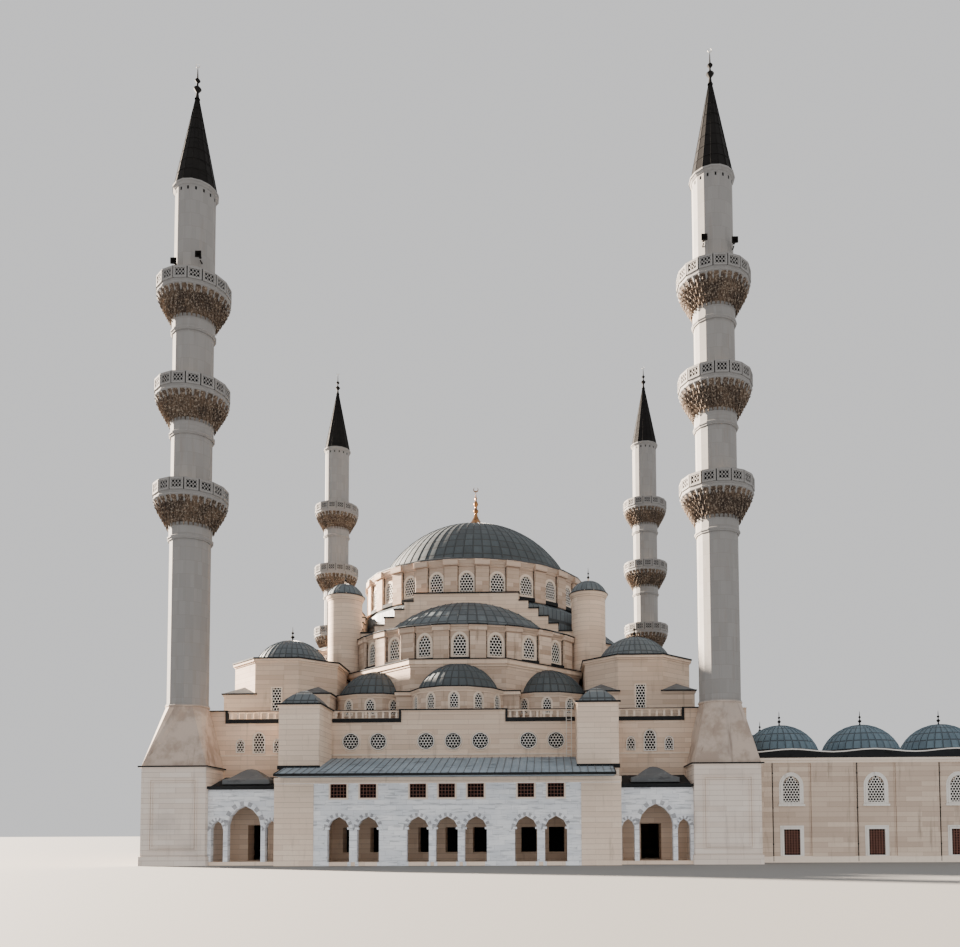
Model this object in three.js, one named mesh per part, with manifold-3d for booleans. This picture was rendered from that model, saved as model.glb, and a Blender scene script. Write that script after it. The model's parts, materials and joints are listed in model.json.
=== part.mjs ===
import * as THREE from 'three';
import Module from 'manifold-3d';

const wasm = await Module();
wasm.setup();

// All sizes are millimetres at 1:10, so 100 stands for one metre of the real building.
// X runs along the near side, Y runs away from it, Z is up, and the hall centre is the origin.

const GAP = 0.3;
const WELD = 0.001;
const THROUGH = 20;

// Hall box
const HALL_HALF = 2470;
const WALL_THICK = 160;
const FLOOR_TOP = 30;
const WALL_TOP = 1200;
const DECK_TOP = 1230;
const CORE_HALF = 1060;
const PARAPET_TOP = 1300;
const PARAPET_THICK = 26;
const CENTRE_PARAPET_HALF = 455;
const CORNER_PARAPET_FROM = 1940;
const COPING_HEIGHT = 10;
const COPING_OVERHANG = 8;
const CURB_TOP = 1234;
const RAIL_DEPTH = 12;
const POST_HALF = 10;
const RAIL_POSTS = [745, 1020, 1380, 1660];

// Minarets
const MINARET_X = 2225;
const MINARET_Y = 2600;
const BASE_HALF = 264;
const BASE_TOP = 795;
const BASE_CORNICE_HALF = 283;
const BASE_CORNICE_TOP = 806;
const TRANSITION_TOP = 1320;
const SHAFT_SIDES = 16;
const SHAFT_R = 169;
const BALCONY_RIMS = [3180, 4072, 4967];
const BALCONY_R = 300;
const PARAPET_HEIGHT = 105;
const BALCONY_FLOOR_DROP = 100;
const BALCONY_EDGE = 12;
const CORBEL_DROP = 350;
const CORBEL_TOP_R = 296;
const CORBEL_TOP_RISE = 210;
const SPIRE_BASE = 5811;
const SPIRE_R = 176;
const SPIRE_TOP = 6670;
const SPIRE_TIP_R = 14;
const MINARET_TIP = 6985;
const SPIRE_FINIAL_R = 26;

// Central block, drum and dome
const BLOCK_HALF = 1250;
const BLOCK_THICK = 110;
const STEP_EDGES = [522, 617, 716, 815, 913];
const STEP_TOPS = [2635, 2555, 2475, 2395, 2320];
const BLOCK_SHOULDER = 2242;
const TURRET_C = 1215;
const TURRET_R = 165;
const TURRET_SIDES = 12;
const TURRET_TOP = 2610;
const TURRET_CORNICE_R = 186;
const TURRET_CAP_TOP = 2745;
const TURRET_TIP = 2820;
const TURRET_TIP_R = 10;
const TURRET_NECK = 14;
const BLOCK_GABLE_HALF = 1085;
const GABLE_COPING = 55;
const SKIRT_THICK = 60;
const SKIRT_REACH = 40;
const SKIRT_SLOPE = 40;
const DRUM_SIDES = 24;
const DRUM_R = 1195;
const DRUM_INNER_R = 1105;
const DRUM_FOOT = 2600;
const DRUM_TOP = 2975;
const DRUM_CORNICE_R = 1229;
const DRUM_CORNICE_TOP = 2998;
const DOME_SPHERE_R = 1167;
const DOME_SPHERE_Z = 2552;
const DOME_THICK = 45;
const DOME_RINGS = 4;
const DOME_LEDGE = 10;
const MAIN_FINIAL_TIP = 4206;
const MAIN_FINIAL_SKIRT_R = 70;
const MAIN_FINIAL_BALL_R = 32;

// Half domes, drawn for the near side and turned about the centre for the others
const SEMI_R = 1180;
const SEMI_Y = -730;
const SEMI_SIDES = 22;
const SEMI_THICK = 80;
const SEMI_FOOT = 1818;
const SEMI_TOP = 2145;
const SEMI_CORNICE_R = 1207;
const SEMI_CORNICE_TOP = 2166;
const SEMI_SPHERE_R = 1276;
const SEMI_SPHERE_Z = 1376;
const TIER_FRONT = 2050;
const TIER_FRONT_HALF = 433;
const TIER_END_X = 1124;
const TIER_END_Y = 1350;
const TIER_TOP = 1815;
const TIER_THICK = 80;
const EXEDRA_R = 428;
const EXEDRA_SIDES = 12;
const MID_EXEDRA = { x: 0, y: -1985, windows: [-2, -1, 0, 1, 2] };
const SIDE_EXEDRA = { x: 798, y: -1612, windows: [-1, 0, 1] };
const EXEDRA_THICK = 55;
const EXEDRA_TOP = 1494;
const EXEDRA_CORNICE_R = 442;
const EXEDRA_CORNICE_TOP = 1512;
const EXEDRA_FLANK_HALF = 550;
const EXEDRA_FLANK_FRONT = 2105;
const EXEDRA_FLANK_BACK = 1890;
const EXEDRA_ROOF_R = 373;
const EXEDRA_ROOF_RISE = 258;
const EXEDRA_ROOF_SIDES = 20;
const LEDGE_THICK = 6;
const SMALL_DOME_THICK = 30;

// Corner domes
const CORNER_C = 1625;
const CORNER_HALF = 478;
const CORNER_BLOCK_TOP = 1485;
const CORNER_HIP_TOP = 1586;
const CORNER_HIP_WIDTH = 290;
const CORNER_HIP_EAVE = 28;
const OCTAGON_TOP = 1813;
const CORNER_THICK = 70;
const CORNER_CORNICE = 16;
const CORNER_CORNICE_TOP = 1826;
const CORNER_PLATE = 8;
const CORNER_DOME_R = 344;
const CORNER_DOME_TOP = 2083;
const CORNER_TIP = 2225;
const CORNER_TIP_R = 18;
const BLOCK_FOOT = CORNER_CORNICE_TOP + CORNER_PLATE + 2 * GAP;

// Side galleries
const TOWER_IN = 1035;
const TOWER_OUT = 1365;
const TOWER_FRONT = 2886;
const TOWER_TOP = 1292;
const TOWER_EAVE = 14;
const TOWER_CAP_INSET = 34;
const TOWER_CAP_TOP = 1425;
const ARCADE_FRONT = 2950;
const ARCADE_THICK = 60;
const ARCADE_TOP = 700;
const ARCADE_CORNICE_FROM = 650;
const RETURN_IN = 1336;
const CORNER_BAY_FRONT = 2810;
const CORNER_BAY_OUT = MINARET_X - BASE_HALF - GAP;
const CORNER_BAY_TOP = 617;
const GALLERY_ROOF_HALF = 1314;
const GALLERY_ROOF_HIGH = 893;
const GALLERY_EAVE_Y = 3160;
const GALLERY_EAVE_TOP = 716;
const ROOF_THICK = 18;
const CORNER_ROOF_HIGH = 736;
const CORNER_ROOF_LOW = 636;
const CORNER_EAVE_Y = 2836;
const PYRAMID_HALF = 165;
const PYRAMID_TOP = 775;

// Openings
const ROUND_XS = [-871, -637, -231, 0, 231, 637, 871];
const ROUND_Z = 1035;
const ROUND_R = 63;
const GALLERY_ARCH_XS = [-861, -625, -229, 0, 229, 625, 861];
const GALLERY_ARCH = { w: 175, spring: 305, crown: 391, bends: 1 };
const GALLERY_WINDOW_W = 130;
const GALLERY_WINDOW_Z = [537, 648];
const TRIPLE_X = 1660;
const TRIPLE_STEP = 160;
const TRIPLE_SIDE = { w: 66, z0: 950, spring: 1025, crown: 1060, bends: 0 };
const TRIPLE_MID = { w: 95, z0: 945, spring: 1068, crown: 1117, bends: 1 };
const LOW_WINDOW = { w: 130, z0: 95, z1: 305 };
const DOOR = { w: 170, z1: 330 };
const CORNER_ARCH_X = 1662;
const CORNER_ARCH_STEP = 222;
const CORNER_ARCH_MID = { w: 270, spring: 330, crown: 485, bends: 2 };
const CORNER_ARCH_SIDE = { w: 102, spring: 300, crown: 366, bends: 1 };
const DRUM_WINDOW = { w: 150, z0: 2665, spring: 2800, crown: 2875, bends: 0 };
const SEMI_WINDOW = { w: 130, z0: 1880, spring: 2010, crown: 2090, bends: 0 };
const EXEDRA_WINDOW = { w: 82, z0: 1330, spring: 1425, crown: 1468, bends: 0 };
const OCTAGON_WINDOW = { w: 84, z0: 1345, z1: 1565 };
const SIDE_WALL_XS = [-1750, -1050, -350, 350, 1050, 1750];
const SIDE_UPPER = { w: 130, z0: 840, spring: 980, crown: 1055, bends: 1 };
const SIDE_LOWER = { w: 136, z0: 95, z1: 300 };
const PORTAL = { w: 240, z1: 430 };
const GLASS_THICK = 5;
const GLASS_HALF = 1850;
const GLASS_NARROW_HALF = 1000;
const GLASS_FOOT = 80;
const GLASS_OVER_DOOR = 450;
const GLASS_TOP = 1130;

// Courtyard
const COURT_FROM = 2494;
const COURT_END = 6580;
const COURT_WALL_TOP = 868;
const COURT_WALL_THICK = 60;
const COURT_OUT = 2470;
const WING_IN = 1790;
const PORTICO_X = 3190;
const WING_BAYS = 5;
const PORTICO_BAYS = 5;
const COURT_ARCH = { w: 470, spring: 470, crown: 730, bends: 1 };
const COURT_UPPER = { w: 142, z0: 498, spring: 650, crown: 726, bends: 0 };
const COURT_LOWER = { w: 138, z0: 60, z1: 278 };
const COURT_EAVE = 14;
const COURT_ROOF_TOP = 915;
const COURT_DOME_R = 318;
const COURT_DRUM_TOP = 950;
const COURT_DOME_RISE = 226;
const COURT_TIP_RISE = 100;
const COURT_TIP_R = 7;

const CORNER_SIGNS = [[-1, -1], [1, -1], [1, 1], [-1, 1]];

const stone = { color: 0xcdbfae, roughness: 0.85, metalness: 0 };
const marble = { color: 0xc9cacb, roughness: 0.55, metalness: 0 };
const paleStone = { color: 0xd6d2c9, roughness: 0.75, metalness: 0 };
const lead = { color: 0x5d6a73, roughness: 0.5, metalness: 0.3 };
const darkLead = { color: 0x1f2326, roughness: 0.5, metalness: 0.3 };
const copper = { color: 0xa8763a, roughness: 0.35, metalness: 0.9 };
const glass = { color: 0x2b3236, roughness: 0.15, metalness: 0 };

// Turns a closed three.js geometry into a solid that can be joined and cut.
function solid(geometry) {
  const flat = geometry.index ? geometry.toNonIndexed() : geometry;
  const position = flat.getAttribute('position');
  const found = new Map();
  const points = [];
  const corners = [];
  for (let i = 0; i < position.count; i += 1) {
    const raw = [position.getX(i), position.getY(i), position.getZ(i)];
    const point = raw.map((value) => Math.round(value / WELD) * WELD);
    const key = point.map((value) => value.toFixed(3)).join(' ').replaceAll('-0.000', '0.000');
    if (!found.has(key)) {
      found.set(key, points.length / 3);
      points.push(...point);
    }
    corners.push(found.get(key));
  }
  const faces = [];
  for (let i = 0; i < corners.length; i += 3) {
    const [a, b, c] = corners.slice(i, i + 3);
    if (a !== b && b !== c && c !== a) faces.push(a, b, c);
  }
  return new wasm.Manifold(new wasm.Mesh({
    numProp: 3,
    vertProperties: new Float32Array(points),
    triVerts: new Uint32Array(faces),
  }));
}

function surface(body) {
  const mesh = body.getMesh();
  const geometry = new THREE.BufferGeometry();
  geometry.setAttribute('position', new THREE.BufferAttribute(new Float32Array(mesh.vertProperties), 3));
  geometry.setIndex(new THREE.BufferAttribute(new Uint32Array(mesh.triVerts), 1));
  geometry.computeVertexNormals();
  return geometry;
}

function join(bodies) {
  return bodies.reduce((whole, body) => whole.add(body));
}

function cut(body, cutters) {
  return cutters.length ? body.subtract(join(cutters)) : body;
}

function box(x0, x1, y0, y1, z0, z1) {
  const geometry = new THREE.BoxGeometry(x1 - x0, y1 - y0, z1 - z0);
  geometry.translate((x0 + x1) / 2, (y0 + y1) / 2, (z0 + z1) / 2);
  return solid(geometry);
}

// A flat outline in plan, raised from z0 to z1.
function prism(points, z0, z1) {
  const shape = new THREE.Shape(points.map(([x, y]) => new THREE.Vector2(x, y)));
  const geometry = new THREE.ExtrudeGeometry(shape, { depth: z1 - z0, bevelEnabled: false });
  geometry.translate(0, 0, z0);
  return solid(geometry);
}

// An outline in the X and Z directions, running from y0 to y1.
function slabAlongY(points, y0, y1) {
  const shape = new THREE.Shape(points.map(([x, z]) => new THREE.Vector2(x, z)));
  const geometry = new THREE.ExtrudeGeometry(shape, { depth: y1 - y0, bevelEnabled: false });
  geometry.rotateX(Math.PI / 2);
  geometry.translate(0, y1, 0);
  return solid(geometry);
}

// An outline in the Y and Z directions, running from x0 to x1.
function slabAlongX(points, x0, x1) {
  const shape = new THREE.Shape(points.map(([y, z]) => new THREE.Vector2(y, z)));
  const geometry = new THREE.ExtrudeGeometry(shape, { depth: x1 - x0, bevelEnabled: false });
  geometry.rotateX(Math.PI / 2);
  geometry.rotateZ(Math.PI / 2);
  geometry.translate(x0, 0, 0);
  return solid(geometry);
}

// A turned piece about the Z axis; with a facet, not an edge, facing the near side.
function turned(profile, sides) {
  const points = profile.map(([r, z]) => new THREE.Vector2(r, z));
  const geometry = new THREE.LatheGeometry(points, sides);
  geometry.rotateX(Math.PI / 2);
  geometry.rotateZ(Math.PI / sides);
  return solid(geometry);
}

function archOutline(x, w, z0, spring, crown, bends) {
  const half = w / 2;
  const rise = crown - spring;
  const side = [[], [[0.68, 0.6]], [[0.86, 0.42], [0.5, 0.78]]][bends];
  const right = side.map(([a, b]) => [x + half * a, spring + rise * b]);
  const left = side.map(([a, b]) => [x - half * a, spring + rise * b]).reverse();
  const foot = [[x - half, z0], [x + half, z0]];
  return [...foot, [x + half, spring], ...right, [x, crown], ...left, [x - half, spring]];
}

// A cutter for a pointed window or arch in a wall facing Y.
function archCutter(x, form, y0, y1, z0 = form.z0) {
  return slabAlongY(archOutline(x, form.w, z0, form.spring, form.crown, form.bends), y0, y1);
}

// An outline closed by its own mirror image across the Z axis.
function mirrored(half) {
  return [...half, ...half.map(([x, z]) => [-x, z]).reverse()];
}

function rectCutter(x, w, z0, z1, y0, y1) {
  return box(x - w / 2, x + w / 2, y0, y1, z0, z1);
}

function circleCutter(x, z, r, y0, y1) {
  const sides = 8;
  const points = [];
  for (let i = 0; i < sides; i += 1) {
    const angle = ((i + 0.5) * 2 * Math.PI) / sides;
    points.push([x + r * Math.cos(angle), z + r * Math.sin(angle)]);
  }
  return slabAlongY(points, y0, y1);
}

function quarterTurn(body, quarters) {
  return solid(surface(body).rotateZ((quarters * Math.PI) / 2));
}

function turnBy(body, angle, x = 0, y = 0) {
  return solid(surface(body).rotateZ(angle).translate(x, y, 0));
}

function moved(body, x, y, z = 0) {
  return solid(surface(body).translate(x, y, z));
}

// The same piece seen in a mirror across the Y axis, with its faces turned outwards again.
function flip(body) {
  const geometry = surface(body).scale(-1, 1, 1);
  const index = geometry.getIndex();
  for (let i = 0; i < index.count; i += 3) {
    const first = index.getX(i);
    index.setX(i, index.getX(i + 1));
    index.setX(i + 1, first);
  }
  return solid(geometry);
}

// Points of a shallow dome profile, from the axis down to radius r at height z.
function capProfile(sphereR, sphereZ, r, rings) {
  const end = Math.asin(r / sphereR);
  const points = [];
  for (let i = 0; i <= rings; i += 1) {
    const angle = (end * i) / rings;
    points.push([sphereR * Math.sin(angle), sphereZ + sphereR * Math.cos(angle)]);
  }
  return points;
}

// Sphere radius of a cap of half width r and height rise.
function capRadius(r, rise) {
  return (r * r + rise * rise) / (2 * rise);
}

function finialProfile(r, z0, z1) {
  const h = z1 - z0;
  return [
    [r * 0.5, z0],
    [r * 0.5, z0 + h * 0.14],
    [r, z0 + h * 0.26],
    [r * 0.4, z0 + h * 0.4],
    [r * 0.75, z0 + h * 0.5],
    [r * 0.3, z0 + h * 0.6],
    [r * 0.2, z0 + h * 0.94],
    [0, z1],
  ];
}

function minaretBase(spread) {
  const low = BASE_CORNICE_HALF - 18 + spread;
  const shape = new THREE.BufferGeometry();
  const lower = [[-low, -low], [low, -low], [low, low], [-low, low]];
  const upper = [];
  const r = SHAFT_R + spread;
  for (let i = 0; i < SHAFT_SIDES; i += 1) {
    const angle = -Math.PI / 2 - Math.PI / SHAFT_SIDES + (i * 2 * Math.PI) / SHAFT_SIDES;
    upper.push([r * Math.cos(angle), r * Math.sin(angle)]);
  }
  const z0 = BASE_CORNICE_TOP;
  const z1 = TRANSITION_TOP;
  const vertices = [];
  const put = (a, b, c) => vertices.push(...a, ...b, ...c);
  const lo = lower.map(([x, y]) => [x, y, z0]);
  const up = upper.map(([x, y]) => [x, y, z1]);
  const per = SHAFT_SIDES / 4;
  // Corner k of the square lies between facets; each corner gathers a fan of upper points.
  const fanStart = (k) => (k * per - per / 2 + 1 + SHAFT_SIDES) % SHAFT_SIDES;
  for (let k = 0; k < 4; k += 1) {
    const corner = lo[k];
    const next = lo[(k + 1) % 4];
    for (let j = 0; j < per - 1; j += 1) {
      const a = up[(fanStart(k) + j) % SHAFT_SIDES];
      const b = up[(fanStart(k) + j + 1) % SHAFT_SIDES];
      put(corner, b, a);
    }
    const last = up[(fanStart(k) + per - 1) % SHAFT_SIDES];
    const first = up[fanStart((k + 1) % 4)];
    put(corner, next, last);
    put(next, first, last);
  }
  put(lo[0], lo[2], lo[1]);
  put(lo[0], lo[3], lo[2]);
  for (let i = 1; i < SHAFT_SIDES - 1; i += 1) put(up[0], up[i], up[i + 1]);
  shape.setAttribute('position', new THREE.BufferAttribute(new Float32Array(vertices), 3));
  return solid(shape);
}

function minaretBody() {
  const profile = [[0, TRANSITION_TOP - 5], [SHAFT_R, TRANSITION_TOP - 5]];
  for (const rim of BALCONY_RIMS) {
    const foot = rim - CORBEL_DROP;
    profile.push(
      [SHAFT_R, foot],
      [CORBEL_TOP_R, foot + CORBEL_TOP_RISE],
      [BALCONY_R, rim - PARAPET_HEIGHT],
      [BALCONY_R, rim],
      [BALCONY_R - BALCONY_EDGE, rim],
      [BALCONY_R - BALCONY_EDGE, rim - BALCONY_FLOOR_DROP],
      [SHAFT_R, rim - BALCONY_FLOOR_DROP],
    );
  }
  profile.push([SHAFT_R, SPIRE_BASE - 40], [SPIRE_R, SPIRE_BASE - 28], [SPIRE_R, SPIRE_BASE - GAP]);
  profile.push([0, SPIRE_BASE - GAP]);
  const h = BASE_HALF;
  const c = BASE_CORNICE_HALF;
  return join([
    box(-h, h, -h, h, 0, BASE_TOP + 1),
    box(-c, c, -c, c, BASE_TOP, BASE_CORNICE_TOP),
    minaretBase(0),
    turned(profile, SHAFT_SIDES),
  ]);
}

function spire() {
  const tip = finialProfile(SPIRE_FINIAL_R, SPIRE_TOP, MINARET_TIP);
  const profile = [[0, SPIRE_BASE], [SPIRE_R, SPIRE_BASE], [SPIRE_TIP_R, SPIRE_TOP], ...tip];
  return turned(profile, SHAFT_SIDES);
}

function floorBody() {
  const cube = BASE_HALF + GAP;
  const inX = MINARET_X - cube;
  const inY = MINARET_Y - cube;
  const side = [
    [-HALL_HALF, -inY], [-inX, -inY], [-inX, -CORNER_BAY_FRONT], [-TOWER_OUT, -CORNER_BAY_FRONT],
    [-TOWER_OUT, -ARCADE_FRONT], [TOWER_OUT, -ARCADE_FRONT], [TOWER_OUT, -CORNER_BAY_FRONT],
    [inX, -CORNER_BAY_FRONT], [inX, -inY], [COURT_FROM, -inY], [COURT_FROM, -COURT_OUT],
    [COURT_END, -COURT_OUT], [COURT_END, -WING_IN], [PORTICO_X, -WING_IN],
  ];
  const across = side.map(([x, y]) => [x, -y]).reverse();
  return prism([...side, ...across], 0, FLOOR_TOP);
}

// Plain upstands in the middle and at the ends, and an open rail on posts between them.
function parapet(half) {
  const y0 = -HALL_HALF;
  const y1 = y0 + PARAPET_THICK;
  const top = PARAPET_TOP;
  const pieces = [
    box(-half, half, y0, y1, WALL_TOP - 1, CURB_TOP),
    box(-half, half, y0, y1, top - RAIL_DEPTH, top),
  ];
  const plain = [
    [-CENTRE_PARAPET_HALF, CENTRE_PARAPET_HALF],
    [-half, -CORNER_PARAPET_FROM],
    [CORNER_PARAPET_FROM, half],
  ];
  for (const [a, b] of plain) {
    pieces.push(box(a, b, y0, y1, WALL_TOP, top));
    pieces.push(box(a, b, y0 - COPING_OVERHANG, y1, top - COPING_HEIGHT, top));
  }
  for (const s of [-1, 1]) {
    for (const x of RAIL_POSTS) {
      pieces.push(box(s * x - POST_HALF, s * x + POST_HALF, y0, y1, WALL_TOP, top));
    }
  }
  return join(pieces);
}

function minaretVoids() {
  const pad = GAP;
  const h = BASE_HALF + pad;
  const c = BASE_CORNICE_HALF + pad;
  const low = PARAPET_TOP;
  const high = TRANSITION_TOP + THROUGH;
  const places = [[-MINARET_X, -MINARET_Y], [MINARET_X, -MINARET_Y]];
  return places.flatMap(([x, y]) => [
    box(x - h, x + h, y - h, y + h, -1, BASE_TOP),
    box(x - c, x + c, y - c, y + c, BASE_TOP - pad, BASE_CORNICE_TOP + pad),
    moved(minaretBase(pad), x, y),
    moved(turned([[0, low], [SHAFT_R + pad, low], [SHAFT_R + pad, high], [0, high]], SHAFT_SIDES), x, y),
  ]);
}

// Wall of the hall behind a gallery, with its two towers.
function galleryWall() {
  const y0 = -HALL_HALF;
  const y1 = y0 + WALL_THICK;
  const z0 = FLOOR_TOP + GAP;
  const pieces = [box(-HALL_HALF, HALL_HALF, y0, y1, z0, WALL_TOP), parapet(HALL_HALF)];
  for (const s of [-1, 1]) {
    const a = Math.min(s * TOWER_IN, s * TOWER_OUT);
    const b = Math.max(s * TOWER_IN, s * TOWER_OUT);
    pieces.push(box(a, b, -TOWER_FRONT, y0 + 1, z0, TOWER_TOP));
    const front = -TOWER_FRONT - TOWER_EAVE;
    const back = y0 + PARAPET_THICK;
    const inset = TOWER_CAP_INSET;
    const [left, right] = [a - TOWER_EAVE, b + TOWER_EAVE];
    pieces.push(box(left, right, front, back, TOWER_TOP - 1, TOWER_TOP + COPING_HEIGHT));
    pieces.push(hipCap(left + inset, right - inset, front + inset, back - inset, TOWER_TOP, TOWER_CAP_TOP));
  }
  const out = y0 - THROUGH;
  const inn = y1 + THROUGH;
  const cutters = [...minaretVoids()];
  for (const x of ROUND_XS) {
    cutters.push(circleCutter(x, ROUND_Z, ROUND_R, out, inn));
    cutters.push(rectCutter(x, LOW_WINDOW.w, LOW_WINDOW.z0, LOW_WINDOW.z1, out, inn));
  }
  for (const s of [-1, 1]) {
    cutters.push(archCutter(s * TRIPLE_X, TRIPLE_MID, out, inn));
    cutters.push(archCutter(s * TRIPLE_X - TRIPLE_STEP, TRIPLE_SIDE, out, inn));
    cutters.push(archCutter(s * TRIPLE_X + TRIPLE_STEP, TRIPLE_SIDE, out, inn));
    cutters.push(rectCutter(s * TRIPLE_X, DOOR.w, FLOOR_TOP - 5, DOOR.z1, out, inn));
    const a = s > 0 ? RETURN_IN - 3 : -TOWER_OUT - 1;
    const b = s > 0 ? TOWER_OUT + 1 : -RETURN_IN + 3;
    cutters.push(box(a, b, -TOWER_FRONT - 1, -CORNER_BAY_FRONT + ARCADE_THICK + 3, 0, CORNER_BAY_TOP + 3));
  }
  return cut(join(pieces), cutters);
}

// A plain slab with a shallow four-sided roof on it.
function hipCap(x0, x1, y0, y1, z0, z1, lip = COPING_HEIGHT) {
  const eave = z0 + lip;
  const cx = (x0 + x1) / 2;
  const cy = (y0 + y1) / 2;
  const base = [[x0, y0], [x1, y0], [x1, y1], [x0, y1]];
  const vertices = [];
  const put = (a, b, c) => vertices.push(...a, ...b, ...c);
  const lo = base.map(([x, y]) => [x, y, z0]);
  const up = base.map(([x, y]) => [x, y, eave]);
  const peak = [cx, cy, z1];
  put(lo[0], lo[2], lo[1]);
  put(lo[0], lo[3], lo[2]);
  for (let i = 0; i < 4; i += 1) {
    const j = (i + 1) % 4;
    put(lo[i], lo[j], up[j]);
    put(lo[i], up[j], up[i]);
    put(up[i], up[j], peak);
  }
  const geometry = new THREE.BufferGeometry();
  geometry.setAttribute('position', new THREE.BufferAttribute(new Float32Array(vertices), 3));
  return solid(geometry);
}

// Wall of the hall facing the courtyard, or the one across from it, drawn facing -Y.
function endWall(portal) {
  const run = MINARET_Y - BASE_CORNICE_HALF - GAP;
  const y0 = -HALL_HALF;
  const y1 = y0 + WALL_THICK;
  const inner = HALL_HALF - WALL_THICK - GAP;
  const half = Math.min(run, inner);
  const z0 = FLOOR_TOP + GAP;
  const pieces = [box(-half, half, y0, y1, z0, WALL_TOP), parapet(half)];
  const out = y0 - THROUGH;
  const inn = y1 + THROUGH;
  const cutters = [];
  for (const x of SIDE_WALL_XS) {
    cutters.push(archCutter(x, SIDE_UPPER, out, inn));
    cutters.push(rectCutter(x, SIDE_LOWER.w, SIDE_LOWER.z0, SIDE_LOWER.z1, out, inn));
  }
  if (portal) cutters.push(rectCutter(0, PORTAL.w, FLOOR_TOP - 5, PORTAL.z1, out, inn));
  return cut(join(pieces), cutters);
}

function arcadeBody() {
  const y0 = -ARCADE_FRONT;
  const y1 = y0 + ARCADE_THICK;
  const z0 = FLOOR_TOP + GAP;
  const top = ARCADE_TOP - GAP;
  const pieces = [
    box(-TOWER_OUT, TOWER_OUT, y0, y1, z0, top),
    box(-TOWER_OUT - 4, TOWER_OUT + 4, y0 - 12, y1, ARCADE_CORNICE_FROM, top),
  ];
  const bayBack = -CORNER_BAY_FRONT + ARCADE_THICK;
  for (const s of [-1, 1]) {
    const a = s > 0 ? RETURN_IN : -TOWER_OUT;
    const b = s > 0 ? TOWER_OUT : -RETURN_IN;
    pieces.push(box(a, b, y1 - 1, bayBack, z0, CORNER_BAY_TOP));
    const c = s > 0 ? TOWER_OUT - 1 : -CORNER_BAY_OUT;
    const d = s > 0 ? CORNER_BAY_OUT : -TOWER_OUT + 1;
    pieces.push(box(c, d, -CORNER_BAY_FRONT, bayBack, z0, CORNER_BAY_TOP));
  }
  const out = y0 - THROUGH;
  const inn = bayBack + THROUGH;
  const cutters = [];
  for (const x of GALLERY_ARCH_XS) {
    cutters.push(archCutter(x, GALLERY_ARCH, out, inn, FLOOR_TOP - 5));
    cutters.push(rectCutter(x, GALLERY_WINDOW_W, GALLERY_WINDOW_Z[0], GALLERY_WINDOW_Z[1], out, inn));
  }
  for (const s of [-1, 1]) {
    const x = s * CORNER_ARCH_X;
    cutters.push(archCutter(x, CORNER_ARCH_MID, out, inn, FLOOR_TOP - 5));
    cutters.push(archCutter(x - CORNER_ARCH_STEP, CORNER_ARCH_SIDE, out, inn, FLOOR_TOP - 5));
    cutters.push(archCutter(x + CORNER_ARCH_STEP, CORNER_ARCH_SIDE, out, inn, FLOOR_TOP - 5));
  }
  return cut(join(pieces), cutters);
}

function galleryRoof() {
  const back = -HALL_HALF - GAP;
  const fall = (GALLERY_ROOF_HIGH - GALLERY_EAVE_TOP) / (GALLERY_EAVE_Y - HALL_HALF);
  const at = (y) => GALLERY_ROOF_HIGH - fall * (y - HALL_HALF);
  const inner = ARCADE_FRONT - ARCADE_THICK;
  const outline = [
    [back, GALLERY_ROOF_HIGH],
    [-GALLERY_EAVE_Y, GALLERY_EAVE_TOP],
    [-GALLERY_EAVE_Y, ARCADE_TOP],
    [-inner, ARCADE_TOP],
    [-inner, at(inner) - ROOF_THICK],
    [back, GALLERY_ROOF_HIGH - ROOF_THICK],
  ];
  const cutters = [-1, 1].map((s) => {
    const a = Math.min(s * (TOWER_IN - GAP), s * (TOWER_OUT + 2));
    const b = Math.max(s * (TOWER_IN - GAP), s * (TOWER_OUT + 2));
    return box(a, b, -TOWER_FRONT - GAP, back + 2, 0, 2000);
  });
  return cut(slabAlongX(outline, -GALLERY_ROOF_HALF, GALLERY_ROOF_HALF), cutters);
}

// Low roof over one corner bay of a gallery, with its small pyramid.
function cornerRoof() {
  const back = -HALL_HALF - GAP;
  const rest = CORNER_BAY_TOP + GAP;
  const inner = CORNER_BAY_FRONT - ARCADE_THICK;
  const fall = (CORNER_ROOF_HIGH - CORNER_ROOF_LOW) / (CORNER_EAVE_Y - HALL_HALF);
  const at = (y) => CORNER_ROOF_HIGH - fall * (y - HALL_HALF);
  const outline = [
    [back, CORNER_ROOF_HIGH],
    [-CORNER_EAVE_Y, CORNER_ROOF_LOW],
    [-CORNER_EAVE_Y, rest],
    [-inner, rest],
    [-inner, at(inner) - ROOF_THICK],
    [back, CORNER_ROOF_HIGH - ROOF_THICK],
  ];
  const from = TOWER_OUT + 6;
  const to = MINARET_X - BASE_CORNICE_HALF - GAP;
  const mid = CORNER_ARCH_X;
  const y = -(HALL_HALF + CORNER_BAY_FRONT) / 2;
  const low = at(-y) - 14;
  const h = PYRAMID_HALF;
  return join([
    slabAlongX(outline, from, to),
    hipCap(mid - h, mid + h, y - h * 0.7, y + h * 0.7, low, PYRAMID_TOP),
  ]);
}

function tierOutline(inset) {
  const f = TIER_FRONT - inset;
  const slope = Math.hypot(TIER_END_X - TIER_FRONT_HALF, TIER_FRONT - TIER_END_Y);
  const nx = (TIER_FRONT - TIER_END_Y) / slope;
  const ny = (TIER_END_X - TIER_FRONT_HALF) / slope;
  // The slanting face moved inwards, met with the front face and with the block.
  const px = TIER_END_X - nx * inset;
  const py = TIER_END_Y - ny * inset;
  const dx = (TIER_FRONT_HALF - TIER_END_X) / (TIER_FRONT - TIER_END_Y);
  const frontX = px + dx * (f - py);
  const endX = TIER_END_X - inset * 1.2;
  const endY = py + (endX - px) / dx;
  const back = 1100 - inset;
  return [[-endX, -back], [-endX, -endY], [-frontX, -f], [frontX, -f], [endX, -endY], [endX, -back]];
}

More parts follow.
